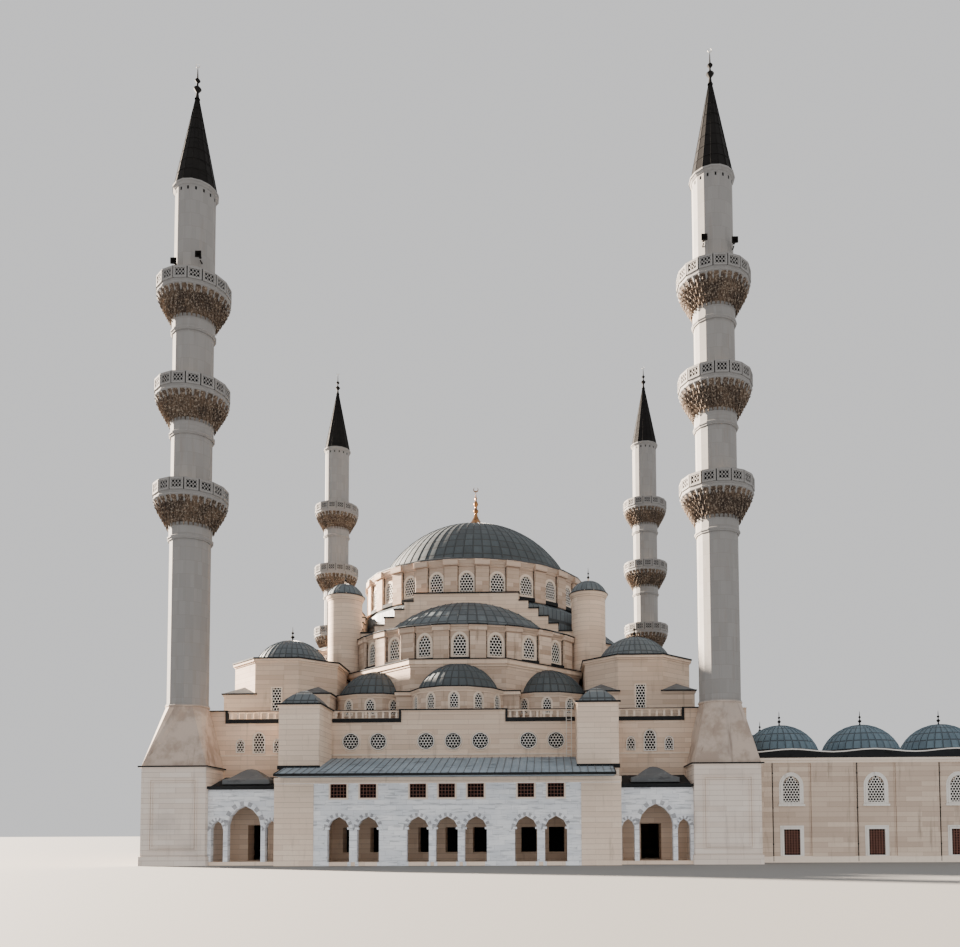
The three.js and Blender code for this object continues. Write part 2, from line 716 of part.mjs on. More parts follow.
const EXEDRAE = [MID_EXEDRA, SIDE_EXEDRA, { ...SIDE_EXEDRA, x: -SIDE_EXEDRA.x }];

// Room kept for the two corner towers beside the near side's tier.
function towerRooms() {
  const h = CORNER_HALF + COPING_OVERHANG + GAP;
  const room = box(CORNER_C - h, CORNER_C + h, -CORNER_C - h, -CORNER_C + h, 0, DRUM_TOP);
  return [room, flip(room)];
}

// Room kept for the two turrets beside the near side's half dome.
function turretRooms() {
  const r = TURRET_CORNICE_R;
  const room = turned([[0, 0], [r, 0], [r, DRUM_TOP], [0, DRUM_TOP]], TURRET_SIDES);
  return [-1, 1].map((s) => moved(room, s * TURRET_C, -TURRET_C));
}

// Low wall under one half dome: three faces, three exedra drums and the half drum above.
function tierBody() {
  const foot = DECK_TOP + GAP;
  const ring = (r, z0, z1, sides) => turned([[0, z0], [r, z0], [r, z1], [0, z1]], sides);
  const flank = EXEDRA_FLANK_HALF;
  const lip = EXEDRA_CORNICE_R - EXEDRA_R;
  const outer = [
    prism(tierOutline(0), foot, TIER_TOP),
    box(-flank, flank, -EXEDRA_FLANK_FRONT, -EXEDRA_FLANK_BACK, foot, EXEDRA_TOP),
    box(-flank, flank, -EXEDRA_FLANK_FRONT - lip, -EXEDRA_FLANK_BACK, EXEDRA_TOP - 1, EXEDRA_CORNICE_TOP),
  ];
  const inner = [prism(tierOutline(TIER_THICK), foot - 10, TIER_TOP - 40)];
  const windows = [];
  const exedra = join([
    ring(EXEDRA_R, foot, EXEDRA_TOP, EXEDRA_SIDES),
    ring(EXEDRA_CORNICE_R, EXEDRA_TOP - 1, EXEDRA_CORNICE_TOP, EXEDRA_SIDES),
  ]);
  const exedraVoid = ring(EXEDRA_R - EXEDRA_THICK, foot - 10, EXEDRA_CORNICE_TOP + 1, EXEDRA_SIDES);
  for (const exedraPlace of EXEDRAE) {
    const { x, y } = exedraPlace;
    outer.push(moved(exedra, x, y));
    inner.push(moved(exedraVoid, x, y));
    for (const i of exedraPlace.windows) {
      const cutter = archCutter(0, EXEDRA_WINDOW, -EXEDRA_R - 30, -EXEDRA_R + EXEDRA_THICK + 30);
      windows.push(turnBy(cutter, (i * 2 * Math.PI) / EXEDRA_SIDES, x, y));
    }
  }
  const drum = join([
    ring(SEMI_R, SEMI_FOOT - 60, SEMI_TOP, SEMI_SIDES),
    ring(SEMI_CORNICE_R, SEMI_TOP - 1, SEMI_CORNICE_TOP, SEMI_SIDES),
  ]);
  const drumVoid = ring(SEMI_R - SEMI_THICK, SEMI_FOOT - 61, SEMI_CORNICE_TOP + 1, SEMI_SIDES);
  const face = -BLOCK_HALF - GAP;
  const keep = box(-HALL_HALF, HALL_HALF, -HALL_HALF, face, 0, SPIRE_TOP);
  outer.push(moved(drum, 0, SEMI_Y));
  inner.push(moved(drumVoid, 0, SEMI_Y));
  for (let i = -3; i <= 3; i += 1) {
    const cutter = archCutter(0, SEMI_WINDOW, -SEMI_R - 30, -SEMI_R + SEMI_THICK + 40);
    windows.push(turnBy(cutter, (i * 2 * Math.PI) / SEMI_SIDES, 0, SEMI_Y));
  }
  return cut(join(outer).intersect(keep), [...inner, ...windows, ...turretRooms(), ...towerRooms()]);
}

// A quarter of a ball over the half drum, on a flat ledge that reaches over the cornice.
function semiDome() {
  const base = SEMI_CORNICE_TOP + GAP;
  const keep = box(-HALL_HALF, HALL_HALF, -HALL_HALF, -BLOCK_HALF - GAP, 0, SPIRE_TOP);
  const shell = domeOnLedge(SEMI_SPHERE_R, SEMI_SPHERE_Z, base, SEMI_CORNICE_R - DOME_LEDGE, SEMI_SIDES);
  return cut(moved(shell, 0, SEMI_Y).intersect(keep), turretRooms());
}

// Three small half domes of one side, on a lead ledge that ties them together.
function exedraRoofs() {
  const base = EXEDRA_CORNICE_TOP + GAP;
  const rim = base + LEDGE_THICK;
  const edge = EXEDRA_CORNICE_R - LEDGE_THICK;
  const sphereR = capRadius(EXEDRA_ROOF_R, EXEDRA_ROOF_RISE);
  const cap = capProfile(sphereR, rim + EXEDRA_ROOF_RISE - sphereR, EXEDRA_ROOF_R, 3);
  const plate = turned([[0, base], [edge, base], [edge, rim], [0, rim]], EXEDRA_SIDES);
  const dome = turned([...cap, [EXEDRA_ROOF_R, rim - 1], [0, rim - 1]].reverse(), EXEDRA_ROOF_SIDES);
  const hollowR = EXEDRA_ROOF_R - SMALL_DOME_THICK;
  const hollowRise = EXEDRA_ROOF_RISE - SMALL_DOME_THICK;
  const hollowSphere = capRadius(hollowR, hollowRise);
  const hollowCap = capProfile(hollowSphere, base + hollowRise - hollowSphere, hollowR, 2);
  const hollow = turned([...hollowCap, [hollowR, base - 5], [0, base - 5]].reverse(), EXEDRA_ROOF_SIDES / 2);
  const set = (body) => EXEDRAE.map(({ x, y }) => moved(body, x, y));
  const half = EXEDRA_FLANK_HALF;
  const ledge = box(-half, half, -EXEDRA_FLANK_FRONT, -EXEDRA_FLANK_BACK, base, rim);
  const clear = prism(tierOutline(-2), 0, DRUM_TOP);
  return cut(join([...set(plate), ...set(dome), ledge]), [...set(hollow), clear, ...towerRooms()]);
}

function octagon(half, grow) {
  const h = half + grow;
  const c = h * Math.tan(Math.PI / 8);
  return [[-c, -h], [c, -h], [h, -c], [h, c], [c, h], [-c, h], [-h, c], [-h, -c]];
}

function cornerBlock() {
  const foot = DECK_TOP + GAP;
  const h = CORNER_HALF;
  const inset = h - CORNER_THICK;
  const cornerHip = (sx, sy) => {
    const out = h + COPING_OVERHANG;
    const near = h - CORNER_HIP_WIDTH;
    const [a, b] = sx > 0 ? [near, out] : [-out, -near];
    const [c, d] = sy > 0 ? [near, out] : [-out, -near];
    return hipCap(a, b, c, d, CORNER_BLOCK_TOP - 1, CORNER_HIP_TOP, CORNER_HIP_EAVE);
  };
  const outer = join([
    box(-h, h, -h, h, foot, CORNER_BLOCK_TOP),
    cornerHip(-1, -1), cornerHip(1, -1), cornerHip(-1, 1), cornerHip(1, 1),
    prism(octagon(h, 0), foot, OCTAGON_TOP),
    prism(octagon(h, CORNER_CORNICE), OCTAGON_TOP - 1, CORNER_CORNICE_TOP),
  ]);
  const windows = [];
  for (let i = 0; i < 4; i += 1) {
    const w = rectCutter(0, OCTAGON_WINDOW.w, OCTAGON_WINDOW.z0, OCTAGON_WINDOW.z1, -h - 30, -inset + 30);
    windows.push(quarterTurn(w, i));
  }
  const hollow = prism(octagon(inset, 0), foot - 5, CORNER_CORNICE_TOP + 5);
  return cut(outer, [hollow, ...windows]);
}

function smallDome(r, rise, z, tip, sides, tipR, thick, rings) {
  const sphereR = capRadius(r, rise);
  const cap = capProfile(sphereR, z + rise - sphereR, r, rings);
  const top = z + rise;
  const spike = [[0, tip], [tipR * 0.35, (top + tip) / 2], [tipR, top + 12], [tipR * 0.6, top - 4]];
  const outer = turned([...spike, ...cap.slice(1), [r, z], [0, z]].reverse(), sides);
  const innerR = capRadius(r - thick, rise - thick);
  const innerCap = capProfile(innerR, z - 1 + rise - thick - innerR, r - thick, rings);
  const hollow = turned([...innerCap, [r - thick, z - 3], [0, z - 3]].reverse(), sides / 2);
  return outer.subtract(hollow);
}

function cornerDome() {
  const z = CORNER_CORNICE_TOP + GAP;
  const lift = z + CORNER_PLATE;
  const plate = prism(octagon(CORNER_HALF, CORNER_CORNICE + 3), z, lift);
  const rise = CORNER_DOME_TOP - lift;
  const dome = smallDome(CORNER_DOME_R, rise, lift - 1, CORNER_TIP, 16, CORNER_TIP_R, SMALL_DOME_THICK, 3);
  const hole = prism(octagon(CORNER_DOME_R - SMALL_DOME_THICK - 10, 0), z - 5, lift + 0.5);
  return join([plate.subtract(hole), dome]);
}

// Outline of one stepped gable, as high as the foot of the drum allows.
function gableOutline() {
  const half = BLOCK_GABLE_HALF;
  const right = [[half, BLOCK_FOOT], [half, BLOCK_SHOULDER]];
  for (let i = STEP_TOPS.length - 1; i >= 0; i -= 1) {
    const below = STEP_TOPS[i + 1] ?? BLOCK_SHOULDER;
    right.push([STEP_EDGES[i], below], [STEP_EDGES[i], Math.min(STEP_TOPS[i], DRUM_FOOT - GAP)]);
  }
  return mirrored(right);
}

function turretBody() {
  const neck = TURRET_TOP - TURRET_NECK;
  const sphereR = capRadius(TURRET_R, TURRET_CAP_TOP - TURRET_TOP - TURRET_NECK);
  const cap = capProfile(sphereR, TURRET_CAP_TOP - sphereR, TURRET_R - TURRET_NECK, 2).reverse();
  return turned([
    [0, BLOCK_FOOT], [TURRET_R, BLOCK_FOOT], [TURRET_R, neck], [TURRET_CORNICE_R, TURRET_TOP],
    ...cap.slice(0, -1), [TURRET_TIP_R, TURRET_CAP_TOP - 2], [0, TURRET_TIP],
  ], TURRET_SIDES);
}

// Square block under the drum: stepped gables on four sides and a turret at each corner.
function centralBlock() {
  const h = BLOCK_HALF;
  const low = BLOCK_SHOULDER - SKIRT_THICK;
  const top = DRUM_FOOT - GAP;
  const gable = join([
    slabAlongY(gableOutline(), -h, -h + BLOCK_THICK),
    box(-STEP_EDGES[0], STEP_EDGES[0], -h, -h + GABLE_COPING, top - 10, STEP_TOPS[0]),
  ]);
  const pieces = [0, 1, 2, 3].map((quarters) => quarterTurn(gable, quarters));
  const turret = turretBody();
  for (const [sx, sy] of CORNER_SIGNS) pieces.push(moved(turret, sx * TURRET_C, sy * TURRET_C));
  const rim = DRUM_R + SKIRT_REACH;
  pieces.push(turned([[0, low], [rim, low], [rim, top - SKIRT_SLOPE], [DRUM_R, top], [0, top]], DRUM_SIDES));
  pieces.push(box(-h + 5, h - 5, -h + 5, h - 5, low, BLOCK_SHOULDER));
  const r = DRUM_INNER_R;
  const well = turned([[0, low - 9], [r, low - 9], [r, top + 9], [0, top + 9]], DRUM_SIDES);
  return join(pieces).subtract(well);
}

function mainDrum() {
  const inner = DRUM_INNER_R;
  const body = turned([
    [inner, DRUM_FOOT], [DRUM_R, DRUM_FOOT], [DRUM_R, DRUM_TOP], [DRUM_CORNICE_R, DRUM_TOP + 8],
    [DRUM_CORNICE_R, DRUM_CORNICE_TOP], [inner, DRUM_CORNICE_TOP], [inner, DRUM_FOOT],
  ], DRUM_SIDES);
  const windows = [];
  for (let i = 0; i < DRUM_SIDES; i += 1) {
    const cutter = archCutter(0, DRUM_WINDOW, -DRUM_R - 40, -inner + 60);
    windows.push(turnBy(cutter, (i * 2 * Math.PI) / DRUM_SIDES));
  }
  return cut(body, windows);
}

// A thin ball cap whose foot spreads into a flat ledge, resting on the wall from z0 up.
function domeOnLedge(sphereR, sphereZ, z0, ledgeR, sides) {
  const foot = z0 + DOME_LEDGE;
  const radiusAt = (r, z) => Math.sqrt(r ** 2 - (z - sphereZ) ** 2);
  const outer = capProfile(sphereR, sphereZ, radiusAt(sphereR, foot), DOME_RINGS);
  const innerR = sphereR - DOME_THICK;
  const inner = capProfile(innerR, sphereZ, radiusAt(innerR, z0 - 4), DOME_RINGS);
  return turned([...outer, [ledgeR, foot], [ledgeR, z0], [0, z0]].reverse(), sides)
    .subtract(turned([...inner, [0, z0 - 4]].reverse(), sides));
}

function mainDome() {
  const base = DRUM_CORNICE_TOP + GAP;
  return domeOnLedge(DOME_SPHERE_R, DOME_SPHERE_Z, base, DRUM_CORNICE_R - DOME_LEDGE, DRUM_SIDES);
}

// A flared skirt, two balls on a rod, and a long point.
function mainFinial() {
  const foot = DOME_SPHERE_Z + DOME_SPHERE_R + GAP;
  const h = MAIN_FINIAL_TIP - foot;
  const ball = MAIN_FINIAL_BALL_R;
  const rod = ball * 0.6;
  const shape = [[0, 0], [MAIN_FINIAL_SKIRT_R, 0], [rod * 1.4, 0.12], [rod, 0.2]];
  for (const height of [0.28, 0.58]) {
    shape.push([rod, height - 0.04], [ball, height], [ball, height + 0.03], [rod, height + 0.07]);
  }
  shape.push([rod * 0.3, 0.8], [0, 1]);
  return turned(shape.map(([r, part]) => [r, foot + h * part]), 10);
}

function deckBody() {
  const h = HALL_HALF - PARAPET_THICK - 4;
  const slab = box(-h, h, -h, h, WALL_TOP + GAP, DECK_TOP);
  const holes = [];
  for (let i = 0; i < 4; i += 1) {
    holes.push(quarterTurn(prism(tierOutline(TIER_THICK), 0, DRUM_TOP), i));
  }
  const core = CORE_HALF;
  holes.push(box(-core, core, -core, core, 0, DRUM_TOP));
  const towerHole = prism(octagon(CORNER_HALF - CORNER_THICK, 0), 0, DRUM_TOP);
  for (const [sx, sy] of CORNER_SIGNS) holes.push(moved(towerHole, sx * CORNER_C, sy * CORNER_C));
  for (const turns of [0, 2]) holes.push(...minaretVoids().map((v) => quarterTurn(v, turns)));
  return cut(slab, holes);
}

function courtBays() {
  const pitch = (COURT_END - PORTICO_X) / WING_BAYS;
  const wing = Array.from({ length: WING_BAYS }, (_, i) => PORTICO_X + pitch * (i + 0.5));
  const step = (2 * WING_IN) / PORTICO_BAYS;
  const portico = Array.from({ length: PORTICO_BAYS }, (_, i) => -WING_IN + step * (i + 0.5));
  return { wing, portico, first: (HALL_HALF + PORTICO_X) / 2 };
}

// Outer walls, end walls and inner arcades of the courtyard wings and portico.
function courtWalls() {
  const z0 = FLOOR_TOP + GAP;
  const top = COURT_WALL_TOP;
  const t = COURT_WALL_THICK;
  const { wing, portico, first } = courtBays();
  const pieces = [];
  const cutters = [];
  const outerCut = [];
  const from = COURT_FROM + 2;
  for (const s of [-1, 1]) {
    const [a, b] = s < 0 ? [-COURT_OUT, -COURT_OUT + t] : [COURT_OUT - t, COURT_OUT];
    pieces.push(box(from, COURT_END, a, b, z0, top));
    const [c, d] = s < 0 ? [-WING_IN - t, -WING_IN] : [WING_IN, WING_IN + t];
    pieces.push(box(PORTICO_X - t, COURT_END, c, d, z0, top));
    const [e, f] = s < 0 ? [-COURT_OUT, -WING_IN] : [WING_IN, COURT_OUT];
    pieces.push(box(COURT_END - t, COURT_END, e, f, z0, top));
    for (const x of [first, ...wing]) {
      outerCut.push(archCutter(x, COURT_UPPER, a - THROUGH, b + THROUGH));
      outerCut.push(rectCutter(x, COURT_LOWER.w, COURT_LOWER.z0, COURT_LOWER.z1, a - THROUGH, b + THROUGH));
    }
    for (const x of wing) cutters.push(archCutter(x, COURT_ARCH, c - THROUGH, d + THROUGH, FLOOR_TOP - 5));
  }
  pieces.push(box(PORTICO_X - t, PORTICO_X, -WING_IN - t, WING_IN + t, z0, top));
  for (const y of portico) {
    const cutter = archCutter(y, COURT_ARCH, -PORTICO_X - THROUGH, -PORTICO_X + t + THROUGH, FLOOR_TOP - 5);
    cutters.push(quarterTurn(cutter, 1));
  }
  for (const turns of [0, 2]) cutters.push(...minaretVoids().map((v) => quarterTurn(v, turns)));
  return cut(join(pieces), [...outerCut, ...cutters]);
}

function courtRoof() {
  const e = COURT_EAVE;
  const z0 = COURT_WALL_TOP + GAP;
  const out = COURT_OUT + e;
  const inn = WING_IN - e;
  const from = COURT_FROM + 2;
  const outline = [
    [from, -out], [COURT_END + e, -out], [COURT_END + e, -inn], [PORTICO_X + e, -inn],
    [PORTICO_X + e, inn], [COURT_END + e, inn], [COURT_END + e, out], [from, out],
  ];
  const { wing, portico, first } = courtBays();
  const mid = (COURT_OUT + WING_IN) / 2;
  const places = [...portico.map((y) => [first, y])];
  for (const s of [-1, 1]) for (const x of [first, ...wing]) places.push([x, s * mid]);
  const z = COURT_ROOF_TOP;
  const sides = 10;
  const r = COURT_DOME_R;
  const sphereR = capRadius(r, COURT_DOME_RISE);
  const cap = capProfile(sphereR, COURT_DRUM_TOP + COURT_DOME_RISE - sphereR, r, 3);
  const topZ = COURT_DRUM_TOP + COURT_DOME_RISE;
  const spike = [[0, topZ + COURT_TIP_RISE], [COURT_TIP_R, topZ - 2]];
  const dome = turned([...spike, ...cap.slice(1), [r, z - 3], [0, z - 3]].reverse(), sides);
  return join([prism(outline, z0, z), ...places.map(([x, y]) => moved(dome, x, y))]);
}

// One sheet closes the windows of a wall; its outline leaves the doors open.
function glassSheet(outline) {
  const y = -HALL_HALF + WALL_THICK + GAP;
  return slabAlongY(outline, y, y + GLASS_THICK);
}

const GLASS_AROUND_DOORS = mirrored([
  [GLASS_NARROW_HALF, GLASS_FOOT], [GLASS_NARROW_HALF, GLASS_OVER_DOOR],
  [GLASS_HALF, GLASS_OVER_DOOR], [GLASS_HALF, GLASS_TOP],
]);
const GLASS_AROUND_PORTAL = mirrored([
  [PORTAL.w / 2 + 30, GLASS_OVER_DOOR], [PORTAL.w / 2 + 30, GLASS_FOOT], [GLASS_HALF, GLASS_FOOT],
  [GLASS_HALF, GLASS_TOP],
]);
const GLASS_PLAIN = mirrored([[GLASS_HALF, GLASS_FOOT], [GLASS_HALF, GLASS_TOP]]);

const group = new THREE.Group();

function place(name, material, body, quarters = 0, x = 0, y = 0) {
  const geometry = surface(body).rotateZ((quarters * Math.PI) / 2).translate(x, y, 0);
  const mesh = new THREE.Mesh(geometry, new THREE.MeshStandardMaterial({ ...material, flatShading: true }));
  mesh.name = name;
  group.add(mesh);
}

const SIDE_NAMES = ['near', 'right', 'far', 'left'];
const CORNER_NAMES = ['near_left', 'near_right', 'far_right', 'far_left'];

place('ground_floor', stone, floorBody());
const longWall = galleryWall();
const arcade = arcadeBody();
const leanTo = galleryRoof();
for (const quarters of [0, 2]) {
  const side = SIDE_NAMES[quarters];
  place(`${side}_wall`, stone, longWall, quarters);
  place(`${side}_arcade`, marble, arcade, quarters);
  place(`${side}_gallery_roof`, lead, leanTo, quarters);
  place(`${side}_window_glass`, glass, glassSheet(GLASS_AROUND_DOORS), quarters);
}
place('right_wall', stone, endWall(true), 1);
place('left_wall', stone, endWall(false), 3);
place('right_window_glass', glass, glassSheet(GLASS_AROUND_PORTAL), 1);
place('left_window_glass', glass, glassSheet(GLASS_PLAIN), 3);

const bayRoof = cornerRoof();
const flippedRoof = flip(bayRoof);
place('near_right_bay_roof', lead, bayRoof);
place('far_left_bay_roof', lead, bayRoof, 2);
place('near_left_bay_roof', lead, flippedRoof);
place('far_right_bay_roof', lead, flippedRoof, 2);

place('roof_deck', lead, deckBody());
const tier = tierBody();
const halfDome = semiDome();
const exedras = exedraRoofs();
for (let quarters = 0; quarters < 4; quarters += 1) {
  const side = SIDE_NAMES[quarters];
  place(`${side}_half_drum`, stone, tier, quarters);
  place(`${side}_half_dome`, lead, halfDome, quarters);
  place(`${side}_exedra_roofs`, lead, exedras, quarters);
}

const minaret = minaretBody();
const minaretSpire = spire();
const block = cornerBlock();
const dome = cornerDome();
CORNER_SIGNS.forEach(([sx, sy], i) => {
  const name = CORNER_NAMES[i];
  place(`${name}_minaret`, paleStone, minaret, 0, sx * MINARET_X, sy * MINARET_Y);
  place(`${name}_spire`, darkLead, minaretSpire, 0, sx * MINARET_X, sy * MINARET_Y);
  place(`${name}_corner_tower`, stone, block, 0, sx * CORNER_C, sy * CORNER_C);
  place(`${name}_corner_dome`, lead, dome, 0, sx * CORNER_C, sy * CORNER_C);
});

place('central_block', stone, centralBlock());
place('main_drum', stone, mainDrum());
place('main_dome', lead, mainDome());
place('main_finial', copper, mainFinial());
place('courtyard_walls', stone, courtWalls());
place('courtyard_roof', lead, courtRoof());

export default group;
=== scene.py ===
# %% [markdown]
# A large domed mosque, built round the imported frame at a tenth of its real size.
# The frame gives walls, domes, roofs and minarets; here they get their stone, marble and lead,
# and the fine work that a mason, a plasterer and a roofer would add.

# %% Load the frame
import json
import math
import bpy
from mathutils import Matrix, Vector


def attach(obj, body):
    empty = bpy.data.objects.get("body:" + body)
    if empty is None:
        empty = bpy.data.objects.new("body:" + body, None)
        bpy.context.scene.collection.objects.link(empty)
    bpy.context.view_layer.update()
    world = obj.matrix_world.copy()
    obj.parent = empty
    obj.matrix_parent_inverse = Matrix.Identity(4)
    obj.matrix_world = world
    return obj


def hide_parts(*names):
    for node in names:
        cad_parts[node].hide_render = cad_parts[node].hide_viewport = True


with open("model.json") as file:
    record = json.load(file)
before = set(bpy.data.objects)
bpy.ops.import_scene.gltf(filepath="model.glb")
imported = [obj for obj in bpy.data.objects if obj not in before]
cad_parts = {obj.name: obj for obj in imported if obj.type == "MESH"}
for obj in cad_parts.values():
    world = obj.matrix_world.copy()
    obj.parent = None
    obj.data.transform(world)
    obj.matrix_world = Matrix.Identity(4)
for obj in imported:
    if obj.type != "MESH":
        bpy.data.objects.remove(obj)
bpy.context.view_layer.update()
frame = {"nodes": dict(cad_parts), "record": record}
print("frame nodes", len(frame["nodes"]))

# %% [markdown]
# Sizes are written as on the real building, in metres, and M turns them into model metres.
# X runs along the near side, Y runs away from it and Z is up, as in the frame.

# %% Scale and driving sizes
M = 0.1
QUARTER = math.pi / 2
HALL = 24.7
CORNERS = [(-1, -1), (1, -1), (1, 1), (-1, 1)]
CORNER_NAMES = ["near_left", "near_right", "far_right", "far_left"]
SIDE_NAMES = ["near", "right", "far", "left"]
print("the hall is", 2 * HALL, "metres wide, and the model", 2 * HALL * M)

# %% [markdown]
# The camera stands low and well back from the near side, and looks up only a little.
# A lens shift keeps the minarets nearly upright in the picture, as in the photograph.

# %% Camera
IMAGE_W = 960
IMAGE_H = 947
FOCAL_PX = 882.0
CENTRE_PX = (519.4, 785.8)
CAMERA_AT = Vector((7.824, -98.909, 2.65)) * M
YAW = -0.030
PITCH = 0.052
ROLL = -0.004

ahead = Vector((math.sin(YAW) * math.cos(PITCH), math.cos(YAW) * math.cos(PITCH), math.sin(PITCH)))
level = Vector((math.cos(YAW), -math.sin(YAW), 0))
upward = level.cross(ahead)
right = level * math.cos(ROLL) + upward * math.sin(ROLL)
top = upward * math.cos(ROLL) - level * math.sin(ROLL)
camera = bpy.data.objects.new("camera", bpy.data.cameras.new("camera"))
bpy.context.scene.collection.objects.link(camera)
camera.matrix_world = Matrix.Translation(CAMERA_AT) @ Matrix((right, top, -ahead)).transposed().to_4x4()
camera.data.sensor_width = 36
camera.data.lens = FOCAL_PX / IMAGE_W * camera.data.sensor_width
camera.data.shift_x = (IMAGE_W / 2 - CENTRE_PX[0]) / IMAGE_W
camera.data.shift_y = (CENTRE_PX[1] - IMAGE_H / 2) / IMAGE_W
camera.data.clip_end = 200
bpy.context.scene.camera = camera
print("lens", round(camera.data.lens, 2), "shift", round(camera.data.shift_y, 3))

# %% [markdown]
# A material is a chain of sums over a surface. This small class wraps one socket of a node,
# so that the sums can be written as ordinary Python, and each sum adds its Math node.

# %% Shader arithmetic
class Value:
    def __init__(self, finish, socket):
        self.finish = finish
        self.socket = socket

    def output(self, name):
        return Value(self.finish, self.socket.node.outputs[name])

    def math(self, operation, other=None, flipped=False):
        pair = [self] if other is None else [self, other]
        if flipped:
            pair.reverse()
        return self.finish.node("ShaderNodeMath", {"operation": operation}, dict(enumerate(pair)))

    def __add__(self, other):
        return self.math("ADD", other)

    def __radd__(self, other):
        return self.math("ADD", other, True)

    def __sub__(self, other):
        return self.math("SUBTRACT", other)

    def __rsub__(self, other):
        return self.math("SUBTRACT", other, True)

    def __mul__(self, other):
        return self.math("MULTIPLY", other)

    def __rmul__(self, other):
        return self.math("MULTIPLY", other, True)

    def __truediv__(self, other):
        return self.math("DIVIDE", other)

    def __rtruediv__(self, other):
        return self.math("DIVIDE", other, True)

    def between(self, low, high):
        settings = {"clamp": True, "interpolation_type": "SMOOTHSTEP"}
        return self.finish.node("ShaderNodeMapRange", settings, {0: self, 1: low, 2: high})


print("values can be added, subtracted, multiplied and divided")

# %% [markdown]
# A finish is one material. Its node method is the only place where nodes are added:
# it takes the node's type, its settings, and the values or links of its sockets.

# %% Finish
class Finish:
    def __init__(self, name):
        self.material = bpy.data.materials.new(name)
        self.material.use_nodes = True
        self.tree = self.material.node_tree
        self.shader = self.tree.nodes["Principled BSDF"]

    def node(self, kind, settings, sockets, output=0):
        node = self.tree.nodes.new(kind)
        for key, value in settings.items():
            setattr(node, key, value)
        for key, value in sockets.items():
            self.feed(node.inputs[key], value)
        return Value(self, node.outputs[output])

    def feed(self, socket, value):
        if isinstance(value, Value):
            self.tree.links.new(value.socket, socket)
        elif isinstance(value, tuple) and len(value) == 3 and socket.type == "RGBA":
            socket.default_value = (*value, 1)
        else:
            socket.default_value = value

    def place(self):
        return self.node("ShaderNodeTexCoord", {}, {}, "Object")

    def parts(self, vector):
        split = self.node("ShaderNodeSeparateXYZ", {}, {0: vector})
        return [split.output(axis) for axis in "XYZ"]

    def joined(self, x, y, z=0.0):
        return self.node("ShaderNodeCombineXYZ", {}, {0: x, 1: y, 2: z})

    def noise(self, vector, scale, detail=3.0, rough=0.55):
        sockets = {"Vector": vector, "Scale": scale, "Detail": detail, "Roughness": rough}
        return self.node("ShaderNodeTexNoise", {}, sockets)

    def mix(self, factor, a, b):
        return self.node("ShaderNodeMix", {"data_type": "RGBA"}, {0: factor, 6: a, 7: b}, 2)

    def bump(self, height, strength, distance):
        sockets = {"Height": height, "Strength": strength, "Distance": distance}
        return self.node("ShaderNodeBump", {}, sockets)

    def finish(self, **sockets):
        for name, value in sockets.items():
            self.feed(self.shader.inputs[name.replace("_", " ")], value)
        return self.material


print("every finish starts from a Principled BSDF")

# %% [markdown]
# Walls are laid in courses of cut stone, each block a little lighter or darker than the next.
# A picture of stone would need a file and would repeat, so the blocks are worked out instead.
# A brick pattern needs a flat pair of coordinates. On a flat wall one runs along the facet,
# worked out from its normal, and the other is the height.

# %% Courses and joints
COURSE = 0.042
BLOCK = 0.26


def along_wall(f):
    x, y, z = f.parts(f.place())
    nx, ny = f.parts(f.node("ShaderNodeNewGeometry", {}, {}, "True Normal"))[:2]
    return y * nx - x * ny, z


def blocks(f, flat, course, length, width):
    tone = f.node("ShaderNodeTexBrick", {"offset": 0.5},
                  {"Vector": flat, "Color1": (0.0, 0.0, 0.0), "Color2": (1.0, 1.0, 1.0),
                   "Mortar": (0.5, 0.5, 0.5), "Scale": 1.0, "Mortar Size": width, "Mortar Smooth": 0.3,
                   "Brick Width": length, "Row Height": course})
    z = f.parts(flat)[1]
    bed = ((z / course).math("FRACT") - 0.5).math("ABSOLUTE").between(0.5 - 1.5 * width / course, 0.5)
    return tone, bed.math("MAXIMUM", tone.output("Fac") * 0.4)


print("courses", COURSE, "high and blocks", BLOCK, "long on the model")

# %% [markdown]
# The hall's stone is a warm buff, and that of the drums and court is browner. The towers' stone is
# the hall's made darker, which is painted shade, with heavier runs of rain. Grain, clouds and long
# runs of rain lie over the blocks, and the joints over them all. The faces that stand furthest
# forward are painted lighter, as painted bounce light. A round wall has no flat facets, so it
# brings its own UV map.

# %% Coursed stone
WALL_LIGHT = (0.86, 0.68, 0.53)
WALL_DARK = (0.70, 0.525, 0.395)
WALL_JOINT = (0.30, 0.20, 0.145)
# The paler colour that the forward faces are mixed towards: painted bounce light.
BOUNCE_LIGHT = (0.98, 0.83, 0.68)


def round_wall(f):
    return f.parts(f.node("ShaderNodeUVMap", {"uv_map": "courses"}, {}))[:2]


def coursed_stone(name, light, dark, stain=0.5, course=COURSE, length=BLOCK, joint=WALL_JOINT,
                  plan=along_wall):
    f = Finish(name)
    place = f.place()
    along, z = plan(f)
    tone, joints = blocks(f, f.joined(along, z), course, length, 0.0012)
    colour = f.mix(tone, light, dark)
    # Painted bounce light: the faces that stand furthest out along Y are lightened by a third.
    painted_bounce = f.parts(place)[1].math("ABSOLUTE").between(2.72, 2.80)
    colour = f.mix(painted_bounce * 0.35, colour, BOUNCE_LIGHT)
    cloud = f.noise(place, 2.2, 4.0)
    grain = f.noise(place, 60.0, 3.0)
    colour = f.mix((cloud - 0.35) * 0.9, colour, dark)
    streak = f.noise(f.joined(along * 9.0, z * 1.1), 1.6, 4.0, 0.6)
    runs = streak.between(0.56, 0.74) * stain
    colour = f.mix(runs, colour, tuple(c * 0.55 for c in dark))
    colour = f.mix(grain.between(0.35, 0.75) * 0.25, colour, tuple(c * 0.8 for c in light))
    colour = f.mix(joints * 0.95, colour, joint)
    height = grain * 0.25 - joints
    return f.finish(Base_Color=colour, Roughness=0.82 + grain * 0.1,
                    Normal=f.bump(height, 0.5, 0.0012))


